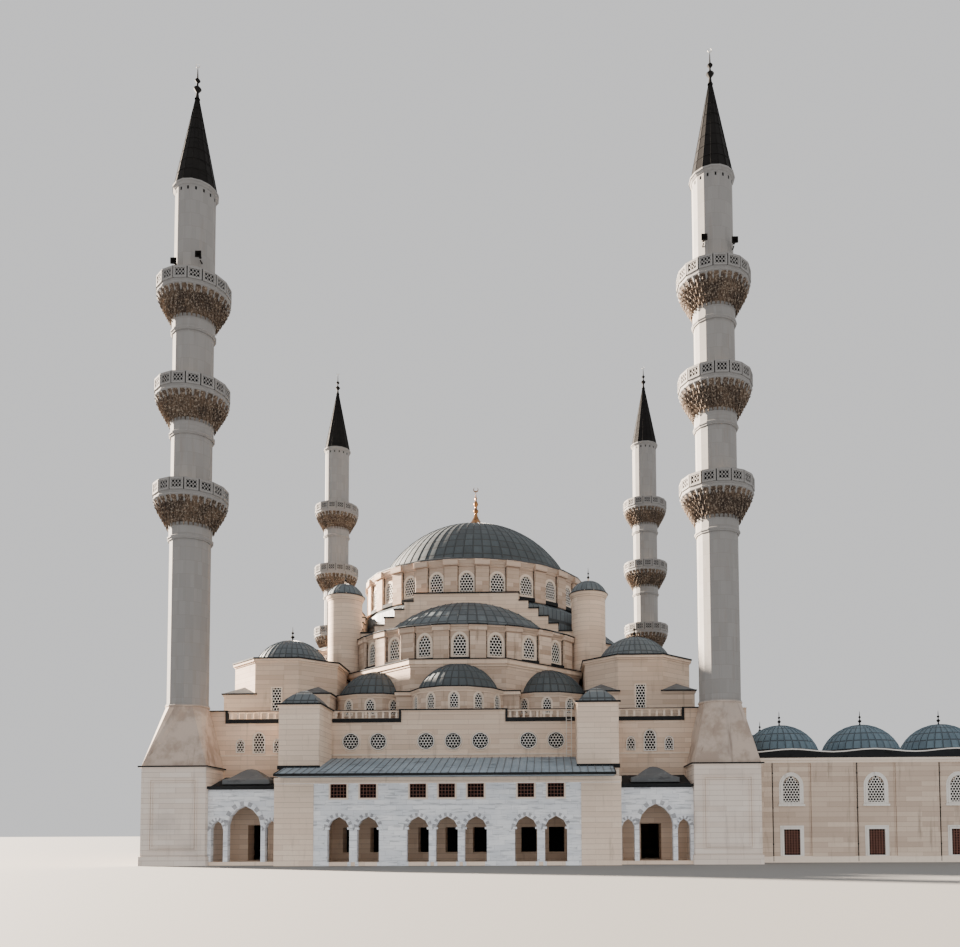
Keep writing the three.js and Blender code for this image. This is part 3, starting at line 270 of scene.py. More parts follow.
wall_stone = coursed_stone("wall_stone", WALL_LIGHT, WALL_DARK)
round_stone = coursed_stone("round_stone", WALL_LIGHT, WALL_DARK, plan=round_wall)
drum_stone = coursed_stone("drum_stone", (0.76, 0.60, 0.475), (0.46, 0.325, 0.235), 0.95)
# The towers' stone is the hall's made darker, as painted shade, with heavier runs of rain.
tower_stone_painted_shade = coursed_stone("tower_stone_painted_shade", (0.72, 0.565, 0.44), (0.56, 0.415, 0.31), 0.7)
court_stone = coursed_stone("court_stone", (0.73, 0.585, 0.46), (0.52, 0.395, 0.305), 0.8)
trim_stone = coursed_stone("trim_stone", (0.86, 0.73, 0.60), (0.72, 0.58, 0.46), 0.5, 5.0, 5.0,
                           (0.6, 0.5, 0.4))
print("stone", wall_stone.name, drum_stone.name, trim_stone.name)

# %% [markdown]
# A minaret is one node of the frame, so one material changes on its way up. The cube is laid in
# the hall's courses, the slope above it is plain render that rain has browned in blotches, and
# the shaft is laid in tall blocks of a greyer stone. The drops under the balconies are brown
# with soot and darkened further with painted shade; their pale spots are partly paler stone and
# partly painted highlights.

# %% Minaret stone
CUBE_TOP = (0.79, 0.82)
SHAFT_FOOT = (1.312, 1.33)


def shaft_stone(name):
    f = Finish(name)
    place = f.place()
    along, z = along_wall(f)
    flat = f.joined(along, z)
    low_tone, low_joints = blocks(f, flat, COURSE, BLOCK, 0.0011)
    high_tone, high_joints = blocks(f, flat, 0.115, 0.067, 0.0016)
    shaft = z.between(*CUBE_TOP)
    browned = shaft * (1 - z.between(*SHAFT_FOOT))
    joints = low_joints * (1 - shaft) + high_joints * shaft * (1 - browned) * 0.4
    tone = low_tone * (1 - shaft) + high_tone * shaft
    light = f.mix(shaft, (0.84, 0.735, 0.64), (0.298, 0.285, 0.271))
    light = f.mix(browned * 0.85, light, (0.60, 0.48, 0.39))
    dark = f.mix(shaft, (0.72, 0.605, 0.51), (0.255, 0.243, 0.230))
    dark = f.mix(browned * 0.85, dark, (0.42, 0.315, 0.245))
    blotch = f.noise(place, 5.0, 5.0, 0.65).between(0.42, 0.62)
    colour = f.mix(tone * 0.8 * (1 - browned) + blotch * browned, light, dark)
    cloud = f.noise(place, 2.4, 4.0)
    grain = f.noise(place, 60.0, 3.0)
    streak = f.noise(f.joined(along * 9.0, z * 1.0), 1.8, 4.0, 0.62)
    colour = f.mix(streak.between(0.54, 0.74) * (0.25 + browned * 0.5), colour, (0.22, 0.16, 0.125))
    colour = f.mix(cloud.between(0.5, 0.75) * 0.3, colour, (0.30, 0.27, 0.25))
    colour = f.mix(joints * 0.85, colour, (0.16, 0.13, 0.11))
    height = grain * 0.25 - joints
    return f.finish(Base_Color=colour, Roughness=0.8 + grain * 0.1, Normal=f.bump(height, 0.5, 0.0012))


def soot_and_shade_stone(name):
    f = Finish(name)
    place = f.place()
    cloud = f.noise(place, 9.0, 4.0, 0.6)
    grain = f.noise(place, 70.0, 3.0)
    # The dark brown is soot with painted shade; the pale grain spots are partly paler stone, partly painted
    # highlights.
    colour = f.mix(cloud.between(0.35, 0.65), (0.040, 0.026, 0.018), (0.13, 0.088, 0.058))
    colour = f.mix(grain.between(0.5, 0.66) * 0.7, colour, (0.43, 0.35, 0.27))
    return f.finish(Base_Color=colour, Roughness=0.85 + grain * 0.1, Normal=f.bump(grain, 0.6, 0.002))


minaret_stone = shaft_stone("minaret_stone")
corbel_soot_and_shade = soot_and_shade_stone("corbel_soot_and_shade")
print("stone", minaret_stone.name, corbel_soot_and_shade.name)

# %% [markdown]
# The gallery fronts are faced with pale marble in small slabs. The veins lie flat along each
# slab: a noise stretched sideways, and shifted from slab to slab so that no vein crosses a joint.
# The arches' stones alternate with a greyer marble.

# %% Marble
SLAB_HEIGHT = 0.04
SLAB_LENGTH = 0.13


def veined_marble(name, light, dark):
    f = Finish(name)
    place = f.place()
    along, z = along_wall(f)
    row = (z / SLAB_HEIGHT).math("FLOOR")
    shifted = along / SLAB_LENGTH + row * 0.37
    column = shifted.math("FLOOR")
    block_tone = f.node("ShaderNodeTexWhiteNoise", {"noise_dimensions": "2D"},
                        {"Vector": f.joined(column, row)})
    streak = f.noise(f.joined(along * 6.0 + block_tone * 3.0, z * 55.0, block_tone * 9.0), 1.0, 5.0, 0.6)
    cloud = f.noise(place, 7.0, 4.0)
    ends = (shifted.math("FRACT") - 0.5).math("ABSOLUTE").between(0.488, 0.5)
    beds = ((z / SLAB_HEIGHT).math("FRACT") - 0.5).math("ABSOLUTE").between(0.465, 0.5)
    joints = beds.math("MAXIMUM", ends)
    colour = f.mix(block_tone * 0.55 + cloud.between(0.3, 0.7) * 0.35, light, dark)
    colour = f.mix(streak.between(0.52, 0.66) * 0.7, colour, tuple(c * 0.55 for c in dark))
    colour = f.mix(joints * 0.6, colour, tuple(c * 0.4 for c in dark))
    return f.finish(Base_Color=colour, Roughness=0.42 + cloud * 0.2,
                    Normal=f.bump(1 - joints, 0.4, 0.0008))


marble = veined_marble("marble", (0.96, 0.965, 0.97), (0.67, 0.70, 0.74))
grey_marble = veined_marble("grey_marble", (0.50, 0.50, 0.51), (0.30, 0.31, 0.33))
print("marble", marble.name, grey_marble.name)

# %% [markdown]
# Lead weathers to a blue grey, with pale bloom where rain dries. Each sheet has aged a little
# differently. On the domes a UV map counts the sheets, so its whole part picks a tone for each one
# and its fraction gives the shadow at the seams and the line of the laps. The flat edges and
# ledges have no such map, and take a plainer, darker lead.

# %% Lead
def aged_lead(f, tone, light, dark, gloss, line, shine=0.7):
    place = f.place()
    cloud = f.noise(place, 3.0, 5.0, 0.6)
    bloom = f.noise(place, 16.0, 5.0, 0.72)
    colour = f.mix((cloud.between(0.32, 0.68) + tone) * 0.5, dark, light)
    colour = f.mix(bloom.between(0.52, 0.80) * 0.55, colour, tuple(c * 1.7 for c in light))
    colour = f.mix(line * 0.9, colour, tuple(c * 0.22 for c in dark))
    return f.finish(Base_Color=colour, Metallic=0.1, Roughness=gloss + bloom * 0.2, Specular_IOR_Level=shine,
                    Normal=f.bump(cloud * 0.5 + tone * 0.3 - line, 0.6, 0.002))


def sheeted_lead(name, light, dark, gloss, shine=0.7):
    f = Finish(name)
    u, v = f.parts(f.node("ShaderNodeUVMap", {"uv_map": "sheets"}, {}))[:2]
    tone = f.node("ShaderNodeTexWhiteNoise", {"noise_dimensions": "2D"},
                  {"Vector": f.joined(u.math("FLOOR"), v.math("FLOOR"))})
    lap = (v.math("FRACT") - 0.5).math("ABSOLUTE").between(0.39, 0.46)
    seam = (u.math("FRACT") - 0.5).math("ABSOLUTE").between(0.39, 0.47)
    return aged_lead(f, tone, light, dark, gloss, lap.math("MAXIMUM", seam), shine)


def plain_lead(name, light, dark, gloss, shine=0.7):
    f = Finish(name)
    x, y, z = f.parts(f.place())
    tone = f.noise(f.place(), 1.2, 2.0)
    row = (f.noise(f.joined(x * 8.0, y * 8.0, z * 30.0), 1.0, 2.0)).between(0.60, 0.66)
    return aged_lead(f, tone, light, dark, gloss, row * 0.5, shine)


lead = sheeted_lead("lead", (0.122, 0.150, 0.165), (0.058, 0.075, 0.086), 0.5)
court_lead = sheeted_lead("court_lead", (0.130, 0.200, 0.245), (0.060, 0.098, 0.128), 0.5)
dome_lead = sheeted_lead("dome_lead", (0.050, 0.070, 0.080), (0.017, 0.027, 0.032), 0.62, 1.0)
roof_lead = plain_lead("roof_lead", (0.285, 0.36, 0.42), (0.17, 0.22, 0.265), 0.62)
cap_lead = plain_lead("cap_lead", (0.145, 0.155, 0.16), (0.08, 0.085, 0.09), 0.62)
edge_lead = plain_lead("edge_lead", (0.018, 0.020, 0.022), (0.008, 0.009, 0.010), 0.7, 0.25)
ledge_lead = plain_lead("ledge_lead", (0.066, 0.076, 0.084), (0.034, 0.040, 0.046), 0.6, 0.5)
spire_lead = plain_lead("spire_lead", (0.012, 0.011, 0.010), (0.006, 0.005, 0.005), 0.6, 0.12)
print("lead in", len([m for m in bpy.data.materials if "lead" in m.name]), "finishes")

# %% [markdown]
# The big finial is gilded copper: smooth metal with brown tarnish in soft patches. The lattices
# are white plaster with grey runs, the grilles are worn brown paint, and the glass behind them
# is nearly black, because the hall inside is dark. The same near-black finish is painted shade in
# the slots under the spires and behind the balcony panels.

# %% Gilded copper, glass, plaster and paint
def gilt(name):
    f = Finish(name)
    place = f.place()
    tarnish = f.noise(place, 18.0, 4.0).between(0.4, 0.7)
    colour = f.mix(tarnish, (0.34, 0.17, 0.07), (0.13, 0.066, 0.033))
    return f.finish(Base_Color=colour, Metallic=1.0, Roughness=0.22 + tarnish * 0.25)


def dark_glass(name):
    f = Finish(name)
    place = f.place()
    haze = f.noise(place, 3.0, 3.0)
    colour = f.mix(haze, (0.002, 0.0025, 0.003), (0.006, 0.007, 0.008))
    return f.finish(Base_Color=colour, Roughness=0.4 + haze * 0.3, Specular_IOR_Level=0.04)


def white_plaster(name, light, dark):
    f = Finish(name)
    place = f.place()
    x, y, z = f.parts(place)
    grain = f.noise(place, 45.0, 4.0, 0.6)
    cloud = f.noise(place, 5.0, 3.0)
    runs = f.noise(f.joined(x * 30.0, y * 30.0, z * 3.0), 1.0, 4.0, 0.6).between(0.55, 0.75)
    colour = f.mix(cloud.between(0.4, 0.7) * 0.5, light, dark)
    colour = f.mix(runs * 0.45, colour, tuple(c * 0.6 for c in dark))
    return f.finish(Base_Color=colour, Roughness=0.75 + grain * 0.15, Normal=f.bump(grain, 0.3, 0.0008))


def painted_metal(name):
    f = Finish(name)
    worn = f.noise(f.place(), 30.0, 4.0).between(0.45, 0.7)
    colour = f.mix(worn * 0.6, (0.145, 0.052, 0.032), (0.075, 0.031, 0.020))
    return f.finish(Base_Color=colour, Roughness=0.45 + worn * 0.3)


gilding = gilt("gilded_copper")
red_metal = painted_metal("brown_paint")
plaster = white_plaster("white_plaster", (0.80, 0.76, 0.70), (0.64, 0.59, 0.52))
glass = dark_glass("window_glass_and_shade")
print("other finishes", gilding.name, red_metal.name, plaster.name, glass.name)

# %% [markdown]
# Every node of the frame keeps its mesh and only gets its finish, by the slot the record gives
# it. A few nodes have weathered in their own way, and the corner towers are darkened with painted
# shade; these are picked out by a word in their name.

# %% Dress the frame
FINISHES = {
    "stone": wall_stone,
    "marble": marble,
    "pale_stone": minaret_stone,
    "lead": roof_lead,
    "dark_lead": spire_lead,
    "copper": gilding,
    "glass": glass,
}
WEATHERED_AND_SHADED = {
    "drum": drum_stone,
    "bay_roof": edge_lead,
    "corner_tower": tower_stone_painted_shade,
    "courtyard_walls": court_stone,
}
slot_of = {part["node"]: part["material_slot"] for part in frame["record"]["subparts"]}
for node, thing in frame["nodes"].items():
    finish = FINISHES[slot_of[node]]
    for word, other in WEATHERED_AND_SHADED.items():
        finish = other if word in node else finish
    thing.data.materials.clear()
    thing.data.materials.append(finish)
print("dressed", len(slot_of))

# %% [markdown]
# New pieces are drawn at real size and shrunk at the end. The pen starts from one vertex and
# extrudes it from point to point, as you would with E in edit mode, which gives any outline.
# Domes, mouldings, spires and finials are all turned shapes: a profile, spun round the Z axis.
# The number of steps is the number of sides, so the same tool turns a ball and a pyramid.

# %% Pen and turned shape
WELD = 0.0005


def trace(name, points):
    bpy.ops.object.select_all(action="DESELECT")
    bpy.ops.mesh.primitive_plane_add(size=1)
    piece = bpy.context.object
    piece.name = name
    bpy.ops.object.mode_set(mode="EDIT")
    bpy.ops.mesh.merge(type="CENTER")
    bpy.ops.transform.translate(value=points[0])
    for start, end in zip(points, points[1:]):
        step = Vector(end) - Vector(start)
        bpy.ops.mesh.extrude_region_move(TRANSFORM_OT_translate={"value": step})
    bpy.ops.mesh.select_all(action="SELECT")
    return piece


def close_up(smooth=None):
    bpy.ops.mesh.select_all(action="SELECT")
    bpy.ops.mesh.remove_doubles(threshold=WELD)
    bpy.ops.mesh.normals_make_consistent(inside=False)
    bpy.ops.object.mode_set(mode="OBJECT")
    if smooth:
        bpy.ops.object.shade_smooth_by_angle(angle=math.radians(smooth))


def spun(name, profile, sides, smooth=None, turn=0.5):
    start = turn * 2 * math.pi / sides - QUARTER
    points = [(r * math.cos(start), r * math.sin(start), z) for r, z in profile]
    piece = trace(name, points)
    bpy.ops.mesh.spin(steps=sides, angle=2 * math.pi, center=(0, 0, 0), axis=(0, 0, 1))
    close_up(smooth)
    return piece


print("points within", WELD * 1000, "mm of each other are joined")

# %% [markdown]
# A place says where a copy goes and which way it faces. It is a matrix, and places are chained
# with @: the last one written happens first.

# %% Places
def shift(x=0.0, y=0.0, z=0.0):
    return Matrix.Translation((x, y, z))


def turned(angle):
    return Matrix.Rotation(angle, 4, "Z")


print("one metre to the right, turned a quarter:", (turned(QUARTER) @ shift(1)).translation[:])

# %% [markdown]
# What repeats is modelled once. A stamp takes a pattern and a list of places, and joins all the
# copies into one mesh. The pattern itself is then thrown away. A place that mirrors the pattern
# also turns its faces round, and the UV maps and sharp edges are copied with it.

# %% Stamps
def copy_map(layer, whole, flips, faces):
    values = [tuple(item.uv) for item in layer.data]
    copied = whole.uv_layers.new(name=layer.name)
    index = 0
    for flipped in flips:
        first = 0
        for face in faces:
            ring = values[first:first + len(face)]
            first += len(face)
            for value in (ring[::-1] if flipped else ring):
                copied.data[index].uv = value
                index += 1


def stamp(name, pattern, places):
    mesh = pattern.data
    points = [vertex.co.copy() for vertex in mesh.vertices]
    faces = [tuple(polygon.vertices) for polygon in mesh.polygons]
    smooth = [polygon.use_smooth for polygon in mesh.polygons]
    sharp = [tuple(edge.vertices) for edge in mesh.edges if edge.use_edge_sharp]
    flips = [place.determinant() < 0 for place in places]
    all_points = []
    all_faces = []
    all_sharp = set()
    for place, flipped in zip(places, flips):
        first = len(all_points)
        all_points.extend(place @ point for point in points)
        for face in faces:
            ring = tuple(first + i for i in face)
            all_faces.append(ring[::-1] if flipped else ring)
        all_sharp.update((min(first + a, first + b), max(first + a, first + b)) for a, b in sharp)
    whole = bpy.data.meshes.new(name)
    whole.from_pydata(all_points, [], all_faces)
    whole.polygons.foreach_set("use_smooth", smooth * len(places))
    for layer in mesh.uv_layers:
        copy_map(layer, whole, flips, faces)
    if all_sharp:
        for edge in whole.edges:
            ends = (min(edge.vertices), max(edge.vertices))
            edge.use_edge_sharp = ends in all_sharp
    piece = bpy.data.objects.new(name, whole)
    bpy.context.scene.collection.objects.link(piece)
    bpy.data.objects.remove(pattern)
    return piece


print("meshes before the first stamp", len(bpy.data.meshes))

# %% [markdown]
# Pieces of one kind are joined into one object. When it is ready it settles: it is shrunk to the
# model's size, gets its material, rides on the building, and takes the place of the
# frame's node where it is a finer version of it.

# %% Join and settle
def joined(name, pieces):
    bpy.ops.object.select_all(action="DESELECT")
    for piece in pieces:
        piece.select_set(True)
    bpy.context.view_layer.objects.active = pieces[0]
    if len(pieces) > 1:
        bpy.ops.object.join()
    whole = bpy.context.view_layer.objects.active
    whole.name = name
    return whole


triangles_added = 0


def settle(piece, material, slot, *stands_for):
    global triangles_added
    piece.data.transform(Matrix.Scale(M, 4))
    piece.data.materials.clear()
    piece.data.materials.append(material)
    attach(piece, "root")
    if stands_for:
        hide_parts(*stands_for)
    triangles_added += sum(len(polygon.vertices) - 2 for polygon in piece.data.polygons)


print("triangles added so far", triangles_added)

# %% [markdown]
# The lead domes are covered with long tapering sheets. Each sheet turns up at its edge into a
# standing seam, and cross laps divide it. A cap is spun from an arc, and one seam, a thin wedge
# spun from the same arc with its middle line pushed outwards, is copied round it.

# %% Arcs and seams
SEAM_WIDTH = 0.055
SEAM_HEIGHT = 0.04


def cap_arc(ball, r, rings, top=0.0):
    ball_r, ball_z = ball
    end = math.asin(min(1.0, r / ball_r))
    start = math.asin(top / ball_r)
    angles = [end + (start - end) * i / rings for i in range(rings + 1)]
    return [(ball_r * math.sin(a), ball_z + ball_r * math.cos(a)) for a in angles]


def dome_seam(name, arc, ball_z, width, height):
    r = arc[0][0]
    half = width / 2 / r
    larger = 1 + height / r
    piece = trace(name, [(-r * math.sin(half), -r * math.cos(half), z) for r, z in arc])
    for size in (larger, 1 / larger):
        bpy.ops.mesh.spin(steps=1, angle=half, center=(0, 0, 0), axis=(0, 0, 1))
        bpy.ops.transform.resize(value=(size,) * 3, center_override=(0, 0, ball_z))
    close_up()
    return piece


print("seams are", SEAM_WIDTH, "m wide and", SEAM_HEIGHT, "m high")

# %% [markdown]
# The lead's material has to know where one sheet ends and the next begins. A UV map called sheets
# tells it: it counts the sheets across in U and the laps down in V. On the seams it stays at one
# half, where the material draws no line.

# %% Maps of the sheets
def mapped(piece, rule, name="sheets"):
    layer = piece.data.uv_layers.new(name=name)
    for polygon in piece.data.polygons:
        for index in polygon.loop_indices:
            point = piece.data.vertices[piece.data.loops[index].vertex_index].co
            layer.data[index].uv = rule(point, polygon.center)
    return piece


def mid_sheet(point, middle):
    return 0.5, 0.5


def angle_round(point, middle):
    about = math.atan2(middle.y, middle.x)
    if math.hypot(point.x, point.y) < 0.01:
        return about
    turn = math.atan2(point.y, point.x) - about
    return about + (turn + math.pi) % (2 * math.pi) - math.pi


def round_sheets(ball, r, count, laps):
    ball_r, ball_z = ball
    first = math.pi / count - QUARTER
    end = math.asin(min(1.0, r / ball_r))

    def rule(point, middle):
        down = math.acos(max(-1.0, min(1.0, (point.z - ball_z) / ball_r))) / end
        return (angle_round(point, middle) - first) / (2 * math.pi) * count + count, down * laps

    return rule


def lead_cap(name, ball, r, count, laps, rings, seam_width=SEAM_WIDTH, seam_height=SEAM_HEIGHT):
    arc = cap_arc(ball, r, rings)
    cap = mapped(spun(name, arc, count, 50), round_sheets(ball, r, count, laps))
    rib = dome_seam("rib", cap_arc(ball, r, rings, r * 0.05), ball[1], seam_width, seam_height)
    step = 2 * math.pi / count
    ribs = stamp("ribs", rib, [turned((i + 0.5) * step) for i in range(count)])
    return joined(name, [cap, mapped(ribs, mid_sheet)])


print("on a seam the map stays at", mid_sheet(None, None))

# %% [markdown]
# The main dome stands a little back from the drum's face, and a flat ledge of lead runs out from
# its foot to the cornice. Its sheets are drawn to 64 seams, as on the real one.

# %% Main dome
DRUM_SIDES = 24
MAIN_BALL = (11.69, 25.52)
DRUM_LEDGE = 30.09
MAIN_R = math.sqrt(MAIN_BALL[0] ** 2 - (DRUM_LEDGE - MAIN_BALL[1]) ** 2)


def lead_ledge(name, inner, outer, z, sides):
    profile = [(inner - 0.3, z + 0.3), (inner + 0.05, z + 0.12), (outer - 0.06, z + 0.02),
               (outer, z - 0.02), (outer, z - 0.14), (inner - 0.3, z - 0.14)]
    return mapped(spun(name, profile, sides), mid_sheet)


main_cap = lead_cap("main_dome_lead", MAIN_BALL, MAIN_R, 64, 12, 18)
main_ledge = lead_ledge("main_ledge", MAIN_R, 12.36, DRUM_LEDGE, DRUM_SIDES)
settle(main_cap, dome_lead, "lead", "main_dome")
settle(main_ledge, ledge_lead, "dark_lead")
print("main dome radius", round(MAIN_R, 2), "triangles", triangles_added)

# %% [markdown]
# Each half dome is the same kind of cap, cut by the plane of the stepped gable that it leans on.
# It is made for the near side, and stamped with quarter turns for the other three.

# %% Half domes
GABLE_Y = -12.5
HALF_SIDES = 22
HALF_BALL = (12.78, 13.76)
HALF_Y = -7.3
HALF_LEDGE = 21.77
HALF_R = math.sqrt(HALF_BALL[0] ** 2 - (HALF_LEDGE - HALF_BALL[1]) ** 2)
SIDES = [turned(i * QUARTER) for i in range(4)]


def keep_beyond(piece, point, away):
    bpy.ops.object.select_all(action="DESELECT")
    piece.select_set(True)
    bpy.context.view_layer.objects.active = piece
    bpy.ops.object.mode_set(mode="EDIT")
    bpy.ops.mesh.select_all(action="SELECT")
    bpy.ops.mesh.bisect(plane_co=point, plane_no=away, clear_inner=True)
    bpy.ops.object.mode_set(mode="OBJECT")
    return piece


def at_half_drum(piece):
    piece.data.transform(shift(0, HALF_Y))
    return keep_beyond(piece, (0, GABLE_Y, 0), (0, -1, 0))


half_cap = at_half_drum(lead_cap("half_dome", HALF_BALL, HALF_R, 60, 10, 14))
half_ledge = at_half_drum(lead_ledge("half_ledge", HALF_R, 12.12, HALF_LEDGE, HALF_SIDES))
half_domes = stamp("half_dome_leads", half_cap, SIDES)
settle(half_domes, lead, "lead", *[side + "_half_dome" for side in SIDE_NAMES])
settle(stamp("half_dome_ledges", half_ledge, SIDES), ledge_lead, "dark_lead")
print("half dome radius", round(HALF_R, 2), "triangles", triangles_added)

# %% [markdown]
# Under each half dome the tier swells out into three small round niches, the exedrae: one in the
# middle and one on each slanting face. Their domes are made whole and cut by the face they lean on.

# %% Small domes over the exedrae
EXEDRA_TOP = 15.12
MID_EXEDRA = (0.0, -19.85)
SIDE_EXEDRA = (7.98, -16.12)
EXEDRAE = [MID_EXEDRA, SIDE_EXEDRA, (-SIDE_EXEDRA[0], SIDE_EXEDRA[1])]
TIER = [(-11.24, -13.5), (-4.33, -20.5), (4.33, -20.5), (11.24, -13.5)]
SMALL_R = 3.75
SMALL_RISE = 2.62


def sphere_of(r, rise):
    return (r * r + rise * rise) / (2 * rise)


small_ball_r = sphere_of(SMALL_R, SMALL_RISE)
SMALL_BALL = (small_ball_r, EXEDRA_TOP + 0.06 + SMALL_RISE - small_ball_r)
slant = Vector((TIER[3][0] - TIER[2][0], TIER[3][1] - TIER[2][1], 0)).normalized()
slant_out = Vector((slant.y, -slant.x, 0))
TIER_CUTS = [((0, TIER[1][1], 0), (0, -1, 0)),
             ((*TIER[2], 0), slant_out),
             ((*TIER[1], 0), (-slant_out.x, slant_out.y, 0))]
small_domes = []
for (x, y), (point, away) in zip(EXEDRAE, TIER_CUTS):
    cap = lead_cap("exedra_dome", SMALL_BALL, SMALL_R, 32, 5, 8)
    cap.data.transform(shift(x, y))
    small_domes.append(keep_beyond(cap, point, away))
print("small domes on each side", len(small_domes), "radius", SMALL_R)

# %% [markdown]
# Cornices are steps of stone under a thin turned-down edge of lead, which is the dark line along
# every roof in the photograph. On a many-sided wall both are spun with the wall's own number of
# sides, so that they follow its faces.

# %% Cornices of the drums
DRUM_R = 11.95
HALF_DRUM_R = 11.8


def cornice(name, r, sides, low, top, reach):
    drop = top - low
    profile = [(r - 0.1, low), (r + reach * 0.2, low), (r + reach * 0.25, low + drop * 0.3),
               (r + reach * 0.5, low + drop * 0.4), (r + reach * 0.9, low + drop * 0.7),
               (r + reach, low + drop * 0.72), (r + reach, top), (r - 0.1, top)]
    return spun(name, profile, sides)


drum_cornice = cornice("main_drum_cornice", DRUM_R, DRUM_SIDES, 29.25, 29.99, 0.36)
settle(drum_cornice, drum_stone, "stone")
half_cornice = at_half_drum(cornice("half_drum_cornice", HALF_DRUM_R, HALF_SIDES, 21.05, 21.66, 0.28))
settle(stamp("half_drum_cornices", half_cornice, SIDES), drum_stone, "stone")
print("triangles so far", triangles_added)

# %% [markdown]
# Cut stone and folded lead are straight blocks, most with a narrow bevel, so that their edges
# catch the light. Every block on a drum starts inside its wall and stands out from it. A bay is
# the middle of one side of the drum, and a corner is where two sides meet.

# %% Blocks on the drums
def block(name, low, high, bevel=0.0):
    low, high = Vector(low), Vector(high)
    bpy.ops.object.select_all(action="DESELECT")
    bpy.ops.mesh.primitive_cube_add(size=1, location=(low + high) / 2, scale=high - low)
    piece = bpy.context.object
    piece.name = name
    bpy.ops.object.transform_apply(location=True, scale=True)
    if bevel:
        bpy.ops.object.mode_set(mode="EDIT")
        bpy.ops.mesh.bevel(offset=bevel, segments=1)
        bpy.ops.object.mode_set(mode="OBJECT")
    return piece


def about_drum(i):
    return turned(i * 2 * math.pi / DRUM_SIDES)


def about_half(i):
    return shift(0, HALF_Y) @ turned(i * 2 * math.pi / HALF_SIDES)


def on_drum(name, r, half, out, low, high, bevel=0.04):
    return block(name, (-half, -r - out, low), (half, -r + 0.3, high), bevel)


DRUM_BAYS = [about_drum(i) for i in range(DRUM_SIDES)]
DRUM_CORNERS = [about_drum(i + 0.5) for i in range(DRUM_SIDES)]
HALF_BAYS = [side @ about_half(i) for side in SIDES for i in range(-3, 4)]
HALF_CORNERS = [side @ about_half(i + 0.5) for side in SIDES for i in range(-4, 4)]
print("bays", len(DRUM_BAYS), "on the drum and", len(HALF_BAYS), "on the half drums")

# %% [markdown]
# Between the windows the drums have wide flat piers that stand a hand's breadth forward, so each
# window sits in a shallow bay. A pier stands at each corner of the many-sided wall, with a dark
# strip down each edge, a thin block of the corbels' dark stone, which stands for soot and painted
# shade in the corner.

# %% Drum piers
DRUM_PIER = (DRUM_R, 0.68, 26.0, 29.3)
HALF_DRUM_PIER = (HALF_DRUM_R, 0.74, 18.2, 21.1)


def drum_pier(r, half, low, high):
    return on_drum("pier", r, half, 0.22, low, high)


# The dark strips beside a pier stand for soot and painted shade in its corners.
def pier_soot_and_shade_strips(r, half, low, high):
    spans = ((-half - 0.07, -half), (half, half + 0.07))
    return joined("soot_and_shade_strips", [block("soot_and_shade_strip", (a, -r - 0.03, low), (b, -r + 0.3, high)) for a, b in spans])


settle(stamp("drum_piers", drum_pier(*DRUM_PIER), DRUM_CORNERS), drum_stone, "stone")
soot_and_shade_strips = [stamp("soot_and_shade_strips", pier_soot_and_shade_strips(*DRUM_PIER), DRUM_CORNERS)]
settle(stamp("half_drum_piers", drum_pier(*HALF_DRUM_PIER), HALF_CORNERS), drum_stone, "stone")
soot_and_shade_strips.append(stamp("soot_and_shade_strips", pier_soot_and_shade_strips(*HALF_DRUM_PIER), HALF_CORNERS))
settle(joined("pier_soot_and_shade_strips", soot_and_shade_strips), corbel_soot_and_shade, "stone")
print("piers", len(DRUM_CORNERS), "and", len(HALF_CORNERS))

# %% [markdown]
# Over each pier the cornice steps forward. Under the windows lie boxes of dark lead.

# %% Cornice jogs and sill boxes
jogs = [stamp("jogs", on_drum("jog", HALF_DRUM_R, 0.84, 0.34, 21.1, 21.62, 0.03), HALF_CORNERS),
        stamp("jogs", on_drum("jog", DRUM_R, 0.78, 0.42, 29.3, 29.92, 0.03), DRUM_CORNERS)]
settle(joined("jogs", jogs), drum_stone, "stone")
jog_lead = on_drum("jog", HALF_DRUM_R, 0.9, 0.4, 21.6, 21.7, 0.02)
settle(stamp("half_drum_jog_leads", jog_lead, HALF_CORNERS), edge_lead, "dark_lead")
sills = [stamp("sills", on_drum("sill", HALF_DRUM_R, 0.95, 0.22, 18.2, 18.62), HALF_BAYS),
         stamp("sills", on_drum("sill", DRUM_R, 0.9, 0.2, 26.02, 26.42), DRUM_BAYS)]
settle(joined("sill_boxes", sills), edge_lead, "dark_lead")
print("triangles so far", triangles_added)

# %% [markdown]
# A slab is an outline, filled and pushed along. A frame is the same outline, grown outwards by its
# width; its face is inset by that width and deleted, and the ring that is left is pushed along.
# A frame that lies level, drawn in plan, is a moulding round a wall.

# %% Slabs and frames
def slab(name, outline, along):
    piece = trace(name, outline)
    bpy.ops.mesh.edge_face_add()
    bpy.ops.mesh.extrude_region_move(TRANSFORM_OT_translate={"value": along})
    close_up()
    return piece


def grown(outline, width):
    points = [Vector(point) for point in outline]
    befores = points[-1:] + points[:-1]
    afters = points[1:] + points[:1]
    normal = sum((a.cross(b) for a, b in zip(points, afters)), Vector()).normalized()
    result = []
    for before, here, after in zip(befores, points, afters):
        one = (here - before).normalized().cross(normal)
        two = (after - here).normalized().cross(normal)
        result.append(here + (one + two) * (width / (1 + one.dot(two))))
    return result


def border(name, outline, width, along, outwards=True):
    piece = trace(name, grown(outline, width) if outwards else outline)
    bpy.ops.mesh.edge_face_add()
    bpy.ops.mesh.inset(thickness=width)
    bpy.ops.mesh.delete(type="FACE")
    bpy.ops.mesh.select_all(action="SELECT")
    bpy.ops.mesh.extrude_region_move(TRANSFORM_OT_translate={"value": along})
    close_up()
    return piece


def plan_ring(name, plan, low, top, reach, outwards=True):
    return border(name, [(x, y, low) for x, y in plan], reach, (0, 0, top - low), outwards)


